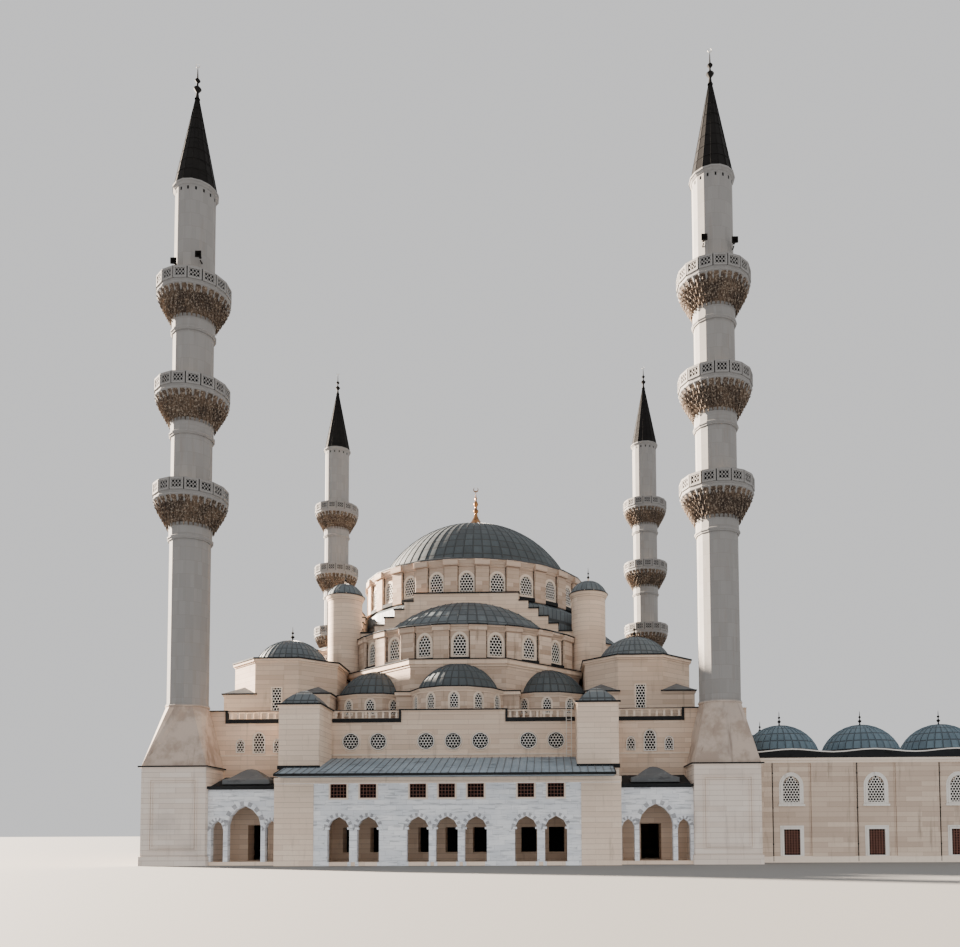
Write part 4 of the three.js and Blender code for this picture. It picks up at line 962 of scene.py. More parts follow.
unit = grown([(0, 0, 0), (1, 0, 0), (1, 1, 0), (0, 1, 0)], 0.1)
print("a corner at zero, grown by 0.1, moves to", [round(value, 2) for value in unit[0]])

# %% [markdown]
# The tier under a half dome has one front face and two slanting ones. Its mouldings are frames
# drawn in plan round that outline and given a height: two of stone and one of lead. A wide frame
# that grows inwards is the lead on the ledge.

# %% Tier mouldings
tier_plan = [(-11.24, -12.6), *TIER, (11.24, -12.6)]
mouldings = [plan_ring("moulding", tier_plan, 17.5, 17.72, 0.08),
             plan_ring("moulding", tier_plan, 17.72, 18.13, 0.2)]
settle(stamp("tier_mouldings", joined("ring", mouldings), SIDES), wall_stone, "stone")
tier_leads = [plan_ring("edge", tier_plan, 18.13, 18.22, 0.26),
              plan_ring("cover", tier_plan, 18.16, 18.21, 1.9, False)]
settle(stamp("tier_lead", joined("lead", tier_leads), SIDES), edge_lead, "dark_lead")
print("triangles so far", triangles_added)

# %% [markdown]
# Each exedra has a cornice and a skirt of lead round the foot of its dome. Both are spun whole and
# cut by the face of the tier, like the dome. Two straight blocks carry the cornice and its lead
# on past the middle exedra.

# %% Cornices and skirts of the exedrae
EXEDRA_R = 4.28
EXEDRA_SIDES = 12
FLANK_HALF = 5.5
FLANK_NEAR = -21.05
FLANK_FAR = -18.9
skirt_profile = [(SMALL_R - 0.15, 15.33), (EXEDRA_R + 0.24, 15.2), (EXEDRA_R + 0.26, 15.1),
                 (SMALL_R - 0.15, 15.1)]
exedra_stone = []
exedra_leads = []
for (x, y), (point, away) in zip(EXEDRAE, TIER_CUTS):
    ring = cornice("ring", EXEDRA_R, EXEDRA_SIDES, 14.72, 15.12, 0.2)
    ring.data.transform(shift(x, y))
    exedra_stone.append(keep_beyond(ring, point, away))
    skirt = spun("skirt", skirt_profile, EXEDRA_SIDES)
    skirt.data.transform(shift(x, y))
    exedra_leads.append(keep_beyond(skirt, point, away))
exedra_stone.append(block("flank", (-FLANK_HALF - 0.1, FLANK_NEAR - 0.2, 14.8),
                          (FLANK_HALF + 0.1, FLANK_FAR, 15.12), 0.03))
exedra_leads.append(block("flank", (-FLANK_HALF - 0.16, FLANK_NEAR - 0.26, 15.11),
                          (FLANK_HALF + 0.16, FLANK_FAR, 15.2), 0.02))
settle(stamp("exedra_cornices", joined("ring", exedra_stone), SIDES), wall_stone, "stone")
roofs = stamp("exedra_domes", joined("lead", small_domes), SIDES)
settle(roofs, dome_lead, "lead", *[side + "_exedra_roofs" for side in SIDE_NAMES])
settle(stamp("exedra_leads", joined("lead", exedra_leads), SIDES), edge_lead, "dark_lead")
print("triangles so far", triangles_added)

# %% [markdown]
# Each corner tower is an eight-sided block with a low dome. The dome's lead runs down on to an
# eight-sided plate, and a small dark finial stands on top.

# %% Corner towers
CORNER_C = 16.25
TOWER_HALF = 4.78
TOWER_DOME_R = 3.46
CORNER_BALL_R = sphere_of(TOWER_DOME_R, 2.5)
CORNER_BALL = (CORNER_BALL_R, 20.86 - CORNER_BALL_R)
AT_CORNERS = [shift(x * CORNER_C, y * CORNER_C) for x, y in CORNERS]


def octagon(half):
    cut = half * math.tan(math.pi / 8)
    near = [(-cut, -half), (cut, -half), (half, -cut), (half, cut)]
    return near + [(-x, -y) for x, y in near]


def finial(name, foot, tip, r, sides=10):
    tall = tip - foot
    shape = [(0.7, 0), (0.45, 0.06), (0.3, 0.2), (1, 0.32), (0.25, 0.42), (0.22, 0.5), (0.72, 0.58),
             (0.2, 0.66), (0.12, 0.9), (0, 1)]
    return spun(name, [(r * a, foot + tall * b) for a, b in shape], sides, 60)


dome = lead_cap("corner_dome", CORNER_BALL, TOWER_DOME_R, 36, 6, 9)
settle(stamp("corner_dome_leads", dome, AT_CORNERS), lead, "lead",
       *[name + "_corner_dome" for name in CORNER_NAMES])
plates = [plan_ring("edge", octagon(TOWER_HALF + 0.05), 18.26, 18.38, 0.2),
          slab("plate", [(x, y, 18.29) for x, y in octagon(TOWER_HALF + 0.1)], (0, 0, 0.08))]
settle(stamp("corner_plates", joined("plate", plates), AT_CORNERS), edge_lead, "dark_lead")
mouldings = [plan_ring("ring", octagon(TOWER_HALF), 17.9, 18.04, 0.07),
             plan_ring("ring", octagon(TOWER_HALF), 18.04, 18.27, 0.18)]
settle(stamp("tower_mouldings", joined("rings", mouldings), AT_CORNERS), wall_stone, "stone")
corner_tips = stamp("corner_finials", finial("tip", 20.8, 22.3, 0.2), AT_CORNERS)
print("triangles so far", triangles_added)

# %% [markdown]
# The four turrets are round and smooth. A sleeve of stone is spun over the frame's twelve-sided
# one, with a moulding, a small lead cap and a knob. The courses wrap round it, so it has its own
# UV map, with metres along the wall in U and height in V.

# %% Turrets
TURRET_C = 12.15
TURRET_R = 1.67
TURRET_CAP_R = 1.8
AT_TURRETS = [shift(x * TURRET_C, y * TURRET_C) for x, y in CORNERS]


def turret_courses(point, middle):
    return angle_round(point, middle) * TURRET_R * M, point.z * M


sleeve = spun("sleeve", [(TURRET_R, 18.5), (TURRET_R, 25.6), (1.72, 25.62), (1.72, 25.75), (1.8, 25.8),
                         (1.9, 26.0), (1.9, 26.12), (1.5, 26.12)], 40, 30)
sleeve = mapped(sleeve, turret_courses, "courses")
settle(stamp("turret_stone", sleeve, AT_TURRETS), round_stone, "stone")
turret_ball_r = sphere_of(TURRET_CAP_R, 1.3)
cap = lead_cap("cap", (turret_ball_r, 27.48 - turret_ball_r), TURRET_CAP_R, 20, 2, 6, 0.05, 0.03)
eave = spun("eave", [(1.6, 26.24), (1.94, 26.14), (1.96, 26.08), (1.6, 26.08)], 40)
settle(stamp("turret_caps", cap, AT_TURRETS), lead, "lead")
settle(stamp("turret_eaves", eave, AT_TURRETS), edge_lead, "dark_lead")
turret_tips = stamp("turret_finials", finial("tip", 27.42, 28.9, 0.14), AT_TURRETS)
settle(joined("small_finials", [corner_tips, turret_tips]), spire_lead, "dark_lead")
print("triangles so far", triangles_added)

# %% [markdown]
# The upper windows are closed with plaster lattices: a wall of small six-sided cells in a pale
# frame that follows the opening, with dark glass behind. A window is drawn from four numbers, its
# width and the heights of its foot, springing and crown. The arch is pointed: two arcs that lean
# against each other. A window that springs from its crown is square-headed.

# %% Window outlines
def half_width(form, z):
    width, _, spring, crown = form
    if z <= spring or crown == spring:
        return width / 2
    part = min(1.0, (z - spring) / (crown - spring))
    return width / 2 * math.sqrt(1 - part ** 1.75)


def window_outline(form, y, steps=5):
    _, foot, spring, crown = form
    arch = [spring + (crown - spring) * math.sin(QUARTER * i / steps) for i in range(steps)]
    heights = [foot, crown] if crown == spring else [foot] + arch
    right = [(half_width(form, z), y, z) for z in heights]
    middle = [] if crown == spring else [(0, y, crown)]
    return right + middle + [(-x, y, z) for x, y, z in reversed(right)]


DRUM_WINDOW = (1.34, 26.7, 27.85, 28.6)
print("corners of a drum window", len(window_outline(DRUM_WINDOW, 0)))

# %% [markdown]
# One cell of the lattice is a disc of six sides. Its middle is inset and deleted, and the ring
# that is left is pulled back to give it depth. Cells are stamped wherever they touch the opening,
# each row half a cell on from the last, so that they share their sides like a honeycomb.

# %% Lattice
HEX_ROW = 0.866
WEB = 0.03


def ring_cell(sides, radius, bar, depth, turn=0.0):
    bpy.ops.object.select_all(action="DESELECT")
    bpy.ops.mesh.primitive_circle_add(vertices=sides, radius=radius, fill_type="NGON")
    cell = bpy.context.object
    bpy.ops.object.mode_set(mode="EDIT")
    bpy.ops.mesh.select_all(action="SELECT")
    if turn:
        bpy.ops.transform.rotate(value=turn, orient_axis="Z", center_override=(0, 0, 0))
    bpy.ops.transform.rotate(value=QUARTER, orient_axis="X", center_override=(0, 0, 0))
    bpy.ops.mesh.inset(thickness=bar)
    bpy.ops.mesh.extrude_region_move(TRANSFORM_OT_translate={"value": (0, depth, 0)})
    bpy.ops.mesh.delete(type="FACE")
    bpy.ops.object.mode_set(mode="OBJECT")
    return cell


def lattice_cell(pitch, bar):
    return ring_cell(6, pitch / math.sqrt(3), bar / 2, WEB)


def cell_places(form, pitch, reach):
    foot = form[1]
    crown = form[3]
    places = []
    for row in range(int((crown - foot) / (pitch * HEX_ROW)) + 2):
        z = foot + row * pitch * HEX_ROW
        for column in range(-12, 13):
            x = (column + 0.5 * (row % 2)) * pitch
            if abs(x) < half_width(form, max(foot, z - reach)) + reach and z < crown + reach:
                places.append(shift(x, 0, z))
    return places


print("cells of a drum window", len(cell_places(DRUM_WINDOW, 0.30, 0.09)))

# %% [markdown]
# Each kind of window is made once, facing the near side, and then stamped round its drum or along
# its wall. A ring stands a little proud of the wall, the lattice lies in its face, and the pane
# lies behind. Rings of stone, rings of plaster, lattices and panes are gathered in four lists, and
# settle at the end.

# %% Windows of the drums, exedrae and towers
PROUD = 0.04
PANE_BACK = 0.1
stone_rings = []
white_rings = []
lattices = []
panes = []


def fit_windows(form, face, places, rings, pitch=0.30, bar=0.07, ring=0.24):
    pane = slab("pane", window_outline(form, face + PANE_BACK), (0, 0.03, 0))
    frame_ring = border("ring", window_outline(form, face - PROUD), ring, (0, PROUD + 0.12, 0))
    cells = stamp("cells", lattice_cell(pitch, bar), cell_places(form, pitch, pitch * 0.3))
    cells.data.transform(shift(0, face))
    rings.append(stamp("ring", frame_ring, places))
    lattices.append(stamp("lattice", cells, places))
    panes.append(stamp("panes", pane, places))


DRUM_FACE = -DRUM_R * math.cos(math.pi / DRUM_SIDES)
HALF_FACE = -HALF_DRUM_R * math.cos(math.pi / HALF_SIDES)
EXEDRA_FACE = -EXEDRA_R * math.cos(math.pi / EXEDRA_SIDES)
fit_windows(DRUM_WINDOW, DRUM_FACE, DRUM_BAYS, stone_rings)
fit_windows((1.16, 18.84, 20.05, 20.8), HALF_FACE, HALF_BAYS, stone_rings)
exedra_windows = [range(-2, 3), range(-1, 2), range(-1, 2)]
step = 2 * math.pi / EXEDRA_SIDES
places = [side @ shift(x, y) @ turned(i * step) for side in SIDES
          for (x, y), count in zip(EXEDRAE, exedra_windows) for i in count]
fit_windows((0.70, 13.32, 14.2, 14.62), EXEDRA_FACE, places, stone_rings, 0.24, 0.055, 0.16)
places = [corner @ side for corner in AT_CORNERS for side in SIDES]
fit_windows((0.80, 13.47, 15.62, 15.62), -TOWER_HALF, places, stone_rings, 0.27, 0.06, 0.1)
UPPER_KINDS = len(lattices)
print("kinds of upper window", UPPER_KINDS)

# %% [markdown]
# A minaret has sixteen sides. Its three balconies stand on corbels of small hanging stone drops,
# row under row, each row half a step on from the last. One drop is turned with four sides, so that
# a sharp ridge faces outwards and its neighbours touch it at the corners. A lining behind the
# drops closes the gaps between them. Drops and lining are dark with soot and painted shade, so the
# gaps read as shade.

# %% Balcony corbels
SHAFT_SIDES = 16
SHAFT_R = 1.69
RIMS = [31.80, 40.72, 49.67]
RIM_R = 3.0
DROPS = 32
ROW_DROP = 0.34
MINARET = (22.25, 26.0)
AT_MINARETS = [shift(x * MINARET[0], y * MINARET[1]) for x, y in CORNERS]
AT_RIMS = [minaret @ shift(z=rim) for minaret in AT_MINARETS for rim in RIMS]


def corbel_r(z):
    return SHAFT_R + (z + 3.5) * 0.605


def drop_row(z, row):
    r = corbel_r(z)
    wide = 2 * math.pi * r / DROPS * 0.97
    axis = r - wide / 2 + (0.13 if row else 0.03)
    size = Matrix.Diagonal((wide, wide, 1, 1))
    angles = [(i + 0.5 * (row % 2)) * 2 * math.pi / DROPS for i in range(DROPS)]
    return [turned(angle) @ shift(0, -axis, z) @ size for angle in angles]


def drop():
    profile = [(0, -0.62), (0.12, -0.5), (0.17, -0.34), (0.3, -0.2), (0.48, -0.12), (0.5, 0), (0, 0.02)]
    return spun("drop", profile, 4, turn=0)


brown_rows = [place for row in range(1, 6) for place in drop_row(-1.35 - ROW_DROP * row, row)]
brown = stamp("drops", drop(), brown_rows)
lining = spun("lining", [(1.83, -3.3), (2.965, -1.42), (2.8, -1.42), (1.7, -3.3), (1.83, -3.3)],
              SHAFT_SIDES)
settle(stamp("corbel_drops", joined("drops", [brown, lining]), AT_RIMS), corbel_soot_and_shade, "pale_stone")
print("drops under each balcony", len(brown_rows) + DROPS)

# %% [markdown]
# The top row of drops is pale, and so are the rings of each balcony: a collar on the shaft below,
# a band under the parapet, and the coping.

# %% Balcony rings
pale = stamp("drops", drop(), drop_row(-1.33, 0))
neck = spun("neck", [(1.6, -3.56), (1.8, -3.56), (1.77, -3.64), (1.77, -4.3), (1.88, -4.38),
                     (1.88, -4.5), (1.79, -4.58), (1.79, -4.66), (1.6, -4.66)], SHAFT_SIDES)
band = spun("band", [(2.8, -1.42), (3.0, -1.4), (3.05, -1.34), (3.05, -1.26), (3.0, -1.22),
                     (2.8, -1.22)], SHAFT_SIDES)
coping = spun("coping", [(2.75, -0.05), (3.06, -0.05), (3.06, 0.03), (2.75, 0.03), (2.75, -0.05)],
              SHAFT_SIDES)
rings = joined("rings", [pale, neck, band, coping])
settle(stamp("balcony_rings", rings, AT_RIMS), minaret_stone, "pale_stone")
print("triangles so far", triangles_added)

# %% [markdown]
# Each side of a balcony has one pierced panel: tall eight-sided rings, three across and two up,
# with small gaps left between them, in a plain frame that stops short of the corner. A dark plate
# behind, and a dark block in the gap at each corner, stand for the shade inside, as painted shade.

# %% Pierced parapets
RIM_FACE = -RIM_R * math.cos(math.pi / SHAFT_SIDES)
AROUND = [turned(i * 2 * math.pi / SHAFT_SIDES) for i in range(SHAFT_SIDES)]
PANEL_HALF = 0.41
PANEL_LOW = -0.87
PANEL_TOP = -0.19
PIERCED_PITCH = 0.273
TALL = Matrix.Diagonal((1, 1, 1.245, 1))


def rectangle(half, low, high, y):
    return [(half, y, low), (half, y, high), (-half, y, high), (-half, y, low)]


def panel_outline(extra, y):
    return rectangle(PANEL_HALF + extra, PANEL_LOW - extra, PANEL_TOP + extra, y)


cells = [shift((i - 1) * PIERCED_PITCH, RIM_FACE - 0.075, PANEL_LOW + 0.17 + 0.34 * j) @ TALL
         for i in range(3) for j in range(2)]
pierced_r = PIERCED_PITCH / 2 / math.cos(math.pi / 8)
grid = stamp("grid", ring_cell(8, pierced_r, 0.046, 0.06, math.pi / 8), cells)
frame_ring = border("frame", panel_outline(0, RIM_FACE - 0.1), 0.145, (0, 0.12, 0))
panel = joined("panel", [grid, frame_ring])
panels = stamp("panels", panel, [rim @ side for rim in AT_RIMS[:3] for side in AROUND])
from_first = [minaret @ AT_MINARETS[0].inverted() for minaret in AT_MINARETS]
settle(stamp("pierced_parapets", panels, from_first), minaret_stone, "pale_stone")
plate = slab("plate", panel_outline(0.02, RIM_FACE - 0.014), (0, 0.02, 0))
# The dark block in the corner gap is painted shade.
gap = block("gap", (-0.07, -RIM_R - 0.012, -1.02), (0.07, -RIM_R + 0.1, -0.04))
gap.data.transform(turned(math.pi / SHAFT_SIDES))
places = [rim @ side for rim in AT_RIMS for side in AROUND]
settle(stamp("shade", joined("shade", [plate, gap]), places), glass, "glass")
print("pierced panels", len(places))

# %% [markdown]
# The spire is a tall cone of lead sheets with a standing seam on each corner and flat laps across.
# Its finial has one large ball and three small ones.

# %% Spires
SPIRE_FOOT = 58.12
SPIRE_TOP = 66.7
SPIRE_R = 1.8
SPIRE_TIP_R = 0.13


def spire_r(z):
    return SPIRE_R + (SPIRE_TIP_R - SPIRE_R) * (z - SPIRE_FOOT) / (SPIRE_TOP - SPIRE_FOOT)


def spire_lap(z):
    top = z + 0.07
    return spun("lap", [(spire_r(z) - 0.02, z), (spire_r(z) + 0.025, z), (spire_r(top) + 0.02, top),
                        (spire_r(top) - 0.02, top)], SHAFT_SIDES)


cone = spun("cone", [(1.5, 58.05), (1.9, 58.05), (1.9, 58.12), (spire_r(58.16), 58.16),
                     (spire_r(SPIRE_TOP), SPIRE_TOP), (0, 66.75)], SHAFT_SIDES)
laps = [spire_lap(SPIRE_FOOT + 1.07 * i) for i in range(1, 8)]
seam = dome_seam("seam", [(spire_r(z), z) for z in (58.16, 60.3, 62.4, 64.5, 66.6)], 62.0, 0.07, 0.05)
seams = stamp("seams", seam, [turned((i + 0.5) * 2 * math.pi / SHAFT_SIDES) for i in range(SHAFT_SIDES)])
spire_tip = finial("tip", 66.6, 69.55, 0.34, 14)
spires = stamp("spires", joined("spire", [cone, seams, spire_tip] + laps), AT_MINARETS)
settle(spires, spire_lead, "dark_lead", *[name + "_spire" for name in CORNER_NAMES])
print("triangles so far", triangles_added)

# %% [markdown]
# Each finial ends in a thin crescent, cut from a plate between two arcs. Under the spire the shaft
# has a small eave of stone, and a narrow slot on each side, drawn as a thin dark plate on the face:
# painted shade for the opening.

# %% Crescents, eaves and slots
def crescent(name, z, r, thick):
    outer = [math.radians(a) for a in range(-240, 61, 20)]
    points = [(r * math.cos(a), 0, z + r * math.sin(a)) for a in outer]
    inner = [(0.74 * r * math.cos(a), 0, z + 0.18 * r + 0.74 * r * math.sin(a))
             for a in reversed(outer[1:-1])]
    piece = slab(name, points + inner, (0, thick, 0))
    piece.data.transform(shift(0, -thick / 2))
    return piece


moons = stamp("spire_crescents", crescent("moon", 69.66, 0.19, 0.05), AT_MINARETS)
settle(moons, plaster, "pale_stone")
eave = spun("eave", [(1.6, 57.72), (1.74, 57.74), (1.86, 57.9), (1.92, 57.92), (1.92, 58.06),
                     (1.6, 58.06)], SHAFT_SIDES)
settle(stamp("spire_eaves", eave, AT_MINARETS), minaret_stone, "pale_stone")
slot_face = -SHAFT_R * math.cos(math.pi / SHAFT_SIDES)
# Each slot is a thin near-black plate on the face: painted shade where the opening is.
slot_shade_plate = slab("slot", rectangle(0.07, 57.28, 57.55, slot_face - 0.012), (0, 0.02, 0))
places = [minaret @ side for minaret in AT_MINARETS for side in AROUND]
settle(stamp("spire_slot_shades", slot_shade_plate, places), glass, "glass")
print("slots", len(places))

# %% [markdown]
# A minaret's base is a cube with a sunk panel on its open face, a plinth round its foot, and a
# thin dark edge on top. A collar of small mouldings stands where the round part of the shaft
# begins.

# %% Minaret bases
BASE_HALF = 2.64
panel_sizes = ((1.68, 1.5, 6.75), (1.86, 1.32, 6.93))


def square(half):
    return [(half * x, half * y) for x, y in CORNERS]


base_panel = [border("panel", rectangle(wide, low, high, -BASE_HALF - 0.08), 0.08, (0, 0.1, 0))
              for wide, low, high in panel_sizes]
open_faces = [minaret @ turned(0 if y < 0 else math.pi) for (_, y), minaret in zip(CORNERS, AT_MINARETS)]
bases = stamp("bases", joined("base", base_panel), open_faces)
feet = stamp("feet", plan_ring("foot", square(BASE_HALF), 0, 0.75, 0.1), AT_MINARETS)
collar = spun("collar", [(1.6, 13.06), (1.76, 13.08), (1.8, 13.14), (1.8, 13.22), (1.74, 13.26),
                         (1.74, 13.34), (1.6, 13.36)], SHAFT_SIDES)
collars = stamp("collars", collar, AT_MINARETS)
settle(joined("minaret_bases", [bases, feet, collars]), minaret_stone, "pale_stone")
edge = plan_ring("edge", square(2.83), 7.98, 8.09, 0.03)
settle(stamp("minaret_edges", edge, AT_MINARETS), edge_lead, "dark_lead")
print("triangles so far", triangles_added)

# %% [markdown]
# Four black horns hang beside the top balconies on the near side. Each is turned with four sides
# and laid on its side on a short arm.

# %% Horns
horn = spun("horn", [(0, 0), (0.12, 0.02), (0.12, 0.2), (0.2, 0.3), (0.36, 0.5), (0.36, 0.58),
                     (0.3, 0.56), (0.12, 0.3), (0, 0.3)], 4)
horn.data.transform(Matrix.Rotation(QUARTER, 4, "X"))
arm = block("arm", (-0.04, -0.1, -0.3), (0.04, 0.35, -0.22))
spots = [AT_MINARETS[1] @ shift(-1.1, -1.62, 51.6),
         AT_MINARETS[1] @ shift(1.5, -1.2, 51.6),
         AT_MINARETS[0] @ shift(1.15, -1.6, 51.2),
         AT_MINARETS[0] @ shift(-0.9, -1.7, 50.6)]
settle(stamp("horn_speakers", joined("horn", [horn, arm]), spots), spire_lead, "dark_lead")
print("horns", len(spots))

# %% [markdown]
# Thin lead lies on every step of the gables, and dresses the foot of the drum behind them. The
# drum's skirt is spun, and its sheets are counted round it in U. The flat shoulders behind the
# gables are one wide frame of lead.

# %% Lead on the gables and shoulders
GABLE_EDGES = [0.0, 5.22, 6.17, 7.16, 8.15, 9.13, 10.85]
GABLE_TOPS = [26.35, 25.55, 24.75, 23.95, 23.2, 22.42]


def both_sides(near, far):
    return [(near, far), (-far, -near)]


def skirt_sheets(point, middle):
    return angle_round(point, middle) * 20 + 80, point.z * 0.45


copings = []
for inner, outer, z in zip(GABLE_EDGES, GABLE_EDGES[1:], GABLE_TOPS):
    back = GABLE_Y + (0.62 if inner == 0 else 1.15)
    for low_x, high_x in both_sides(inner, outer + 0.1):
        copings.append(block("coping", (low_x, GABLE_Y - 0.12, z), (high_x, back, z + 0.12)))
gable_lead = stamp("gable_lead", joined("copings", copings), SIDES)
settle(gable_lead, edge_lead, "dark_lead")
skirt = spun("skirt", [(12.0, 22.3), (12.42, 22.3), (12.42, 25.58), (11.98, 26.03), (11.8, 26.03)],
             DRUM_SIDES)
settle(mapped(skirt, skirt_sheets), lead, "lead")
settle(plan_ring("shoulder_lead", square(12.45), 22.41, 22.46, 1.9, False), edge_lead, "dark_lead")
print("steps on each gable", len(copings))

# %% [markdown]
# The two buttress towers of each long side have a bulging lead cap on a dark eave, and each corner
# tower has four low hipped roofs where its square turns into an octagon. All are pyramids turned
# with four sides. Only their profiles differ: straight, bell-shaped or domed.

# %% Caps of the buttresses and hips
BUTTRESS_X = 12.0
HIP_C = 3.37
STRAIGHT = [(1, 0), (0.5, 0.5), (0, 1)]
BELL = [(1, 0), (0.78, 0.14), (0.6, 0.36), (0.36, 0.72), (0.16, 0.94), (0, 1)]
DOMED = [(1, 0), (0.8, 0.34), (0.5, 0.68), (0.22, 0.91), (0, 1)]
LONG_SIDES = SIDES[::2]


def pyramid(name, half_x, half_y, low, top, shape):
    rise = top - low
    piece = spun(name, [(math.sqrt(2) * a, low + rise * b) for a, b in shape], 4)
    piece.data.transform(Matrix.Diagonal((half_x, half_y, 1, 1)))
    return piece


def flat_sheets(point, middle):
    across = point.x if abs(middle.y) > abs(middle.x) else point.y
    return across * 1.7 + 20, point.z * 1.2


at_buttresses = [side @ shift(x) for side in LONG_SIDES for x in (-BUTTRESS_X, BUTTRESS_X)]
cap = mapped(pyramid("cap", 1.6, 1.95, 13.0, 14.42, DOMED), flat_sheets)
cap.data.transform(shift(0, -26.75))
settle(stamp("buttress_caps", cap, at_buttresses), lead, "lead")
eave = block("eave", (-1.82, -29.03, 12.93), (1.82, -24.5, 13.08), 0.02)
eaves = stamp("eaves", eave, at_buttresses)
at_hips = [corner @ shift(HIP_C * x, HIP_C * y) for corner in AT_CORNERS for x, y in CORNERS]
hip = stamp("hips", pyramid("hip", 1.55, 1.55, 15.1, 15.93, STRAIGHT), at_hips)
settle(hip, cap_lead, "lead")
fascias = stamp("fascias", plan_ring("fascia", square(1.5), 15.02, 15.14, 0.08), at_hips)
settle(joined("buttress_eaves_and_hips", [eaves, fascias]), edge_lead, "dark_lead")
print("caps", len(at_buttresses), "hips", len(at_hips))

# %% [markdown]
# The parapet of a long side is a row of pale balusters between plain upstands. A baluster is turned
# with four sides and fills the gap between the band and the rail.

# %% Balusters
PARAPET_Y = -24.57
RUNS = [(4.55, 10.3), (13.75, 19.4)]
BALUSTER_STEP = 0.6
baluster = spun("baluster", [(0.0, 12.3), (0.16, 12.3), (0.16, 12.38), (0.1, 12.42), (0.13, 12.6),
                             (0.1, 12.8), (0.16, 12.84), (0.16, 12.9), (0, 12.9)], 4)
spots = []
for low, high in RUNS:
    count = round((high - low) / BALUSTER_STEP)
    for i in range(count):
        x = low + (high - low) * (i + 0.5) / count
        spots += [shift(x, PARAPET_Y), shift(-x, PARAPET_Y)]
balusters = stamp("balusters", baluster, [side @ spot for side in LONG_SIDES for spot in spots])
settle(balusters, trim_stone, "stone")
print("balusters on each long side", len(spots))

# %% [markdown]
# A dark lead band lies under the balusters, a rail of lead on top of them, and more lead covers the
# tops and edges of the upstands. A band runs along the short sides too. A pale string course goes
# right round the hall under the windows.

# %% Leads of the parapets and the string course
SHORT_SIDES = SIDES[1::2]
run_spans = [span for low, high in RUNS for span in both_sides(low, high)]
bands = [block("band", (low, -24.8, 11.98), (high, -24.42, 12.32)) for low, high in run_spans]
bands += [block("edge", (x - 0.09, -24.82, 11.98), (x + 0.09, -24.4, 13.0))
          for x in (4.52, -4.52, 19.4, -19.4)]
bands += [block("top", (low, -24.84, 12.98), (high, -24.34, 13.09), 0.02)
          for low, high in [(-4.62, 4.62)] + both_sides(19.3, 23.2)]
settle(stamp("parapet_leads", joined("bands", bands), LONG_SIDES), edge_lead, "dark_lead")
settle(plan_ring("string_course", square(HALL), 9.15, 9.29, 0.06), trim_stone, "stone")
rails = [block("rail", (low, -24.74, 12.99), (high, -24.4, 13.05)) for low, high in run_spans]
settle(stamp("rail_leads", joined("rails", rails), LONG_SIDES), edge_lead, "dark_lead")
end_band = block("hall_band", (-24.5, -24.78, 11.98), (24.5, -24.6, 12.06), 0.02)
settle(stamp("hall_bands", end_band, SHORT_SIDES), edge_lead, "dark_lead")
print("triangles so far", triangles_added)

# %% [markdown]
# Seven round windows and two groups of three light each long side, in broad white frames. A round
# window has two rings, the outer one of stone, and the same six-sided lattice as the others.

# %% Windows of the long sides
ROUND_X = [0, 2.31, -2.31, 6.37, -6.37, 8.71, -8.71]
ROUND_Z = 10.35
ROUND_R = 0.66
ROUND_PITCH = 0.26


def circle(r, z, y, steps=20):
    return [(r * math.cos(2 * math.pi * i / steps), y, z - r * math.sin(2 * math.pi * i / steps))
            for i in range(steps)]


ring = border("ring", circle(ROUND_R, ROUND_Z, -HALL - 0.1), 0.07, (0, 0.2, 0))
outer_ring = border("ring", circle(0.82, ROUND_Z, -HALL - 0.04), 0.07, (0, 0.1, 0))
grid = [((i + 0.5 * (j % 2)) * ROUND_PITCH, j * 0.225) for j in range(-3, 4) for i in range(-3, 4)]
cells = [shift(x, 0, ROUND_Z + z) for x, z in grid if math.hypot(x, z) < ROUND_R]
cells = stamp("cells", lattice_cell(ROUND_PITCH, 0.055), cells)
cells.data.transform(shift(0, -HALL - 0.06))
pane = slab("pane", circle(0.7, ROUND_Z, -HALL - 0.02), (0, 0.03, 0))
places = [side @ shift(x) for side in LONG_SIDES for x in ROUND_X]
white_rings.append(stamp("ring", ring, places))
stone_rings.append(stamp("ring", outer_ring, places))
lattices.append(stamp("lattice", cells, places))
panes.append(stamp("pane", pane, places))
middles = [side @ shift(x) for side in LONG_SIDES for x in (-16.6, 16.6)]
fit_windows((0.91, 9.47, 10.66, 11.15), -HALL, middles, white_rings, 0.25, 0.05, 0.08)
thirds = [middle @ shift(x) for middle in middles for x in (-1.6, 1.6)]
fit_windows((0.62, 9.52, 10.23, 10.58), -HALL, thirds, white_rings, 0.235, 0.05, 0.07)
print("windows of the long sides", len(places) + len(middles) + len(thirds))

# %% [markdown]
# The two short sides have two rows of six, arched above and square below, where iron bars close
# them. On the court side the door has a surround of two plain jambs and a lintel.

# %% Windows and door of the short sides
ALONG = [-17.5, -10.5, -3.5, 3.5, 10.5, 17.5]


def grille(form, face, across, up, bar=0.05):
    width = form[0]
    foot = form[1]
    crown = form[3]
    half = bar / 2
    bars = []
    for i in range(1, across):
        x = -width / 2 + width * i / across
        bars.append(block("bar", (x - half, face, foot), (x + half, face + bar, crown)))
    for i in range(1, up):
        z = foot + (crown - foot) * i / up
        bars.append(block("bar", (-width / 2, face - 0.01, z - half),
                          (width / 2, face + bar - 0.01, z + half)))
    return joined("grille", bars)


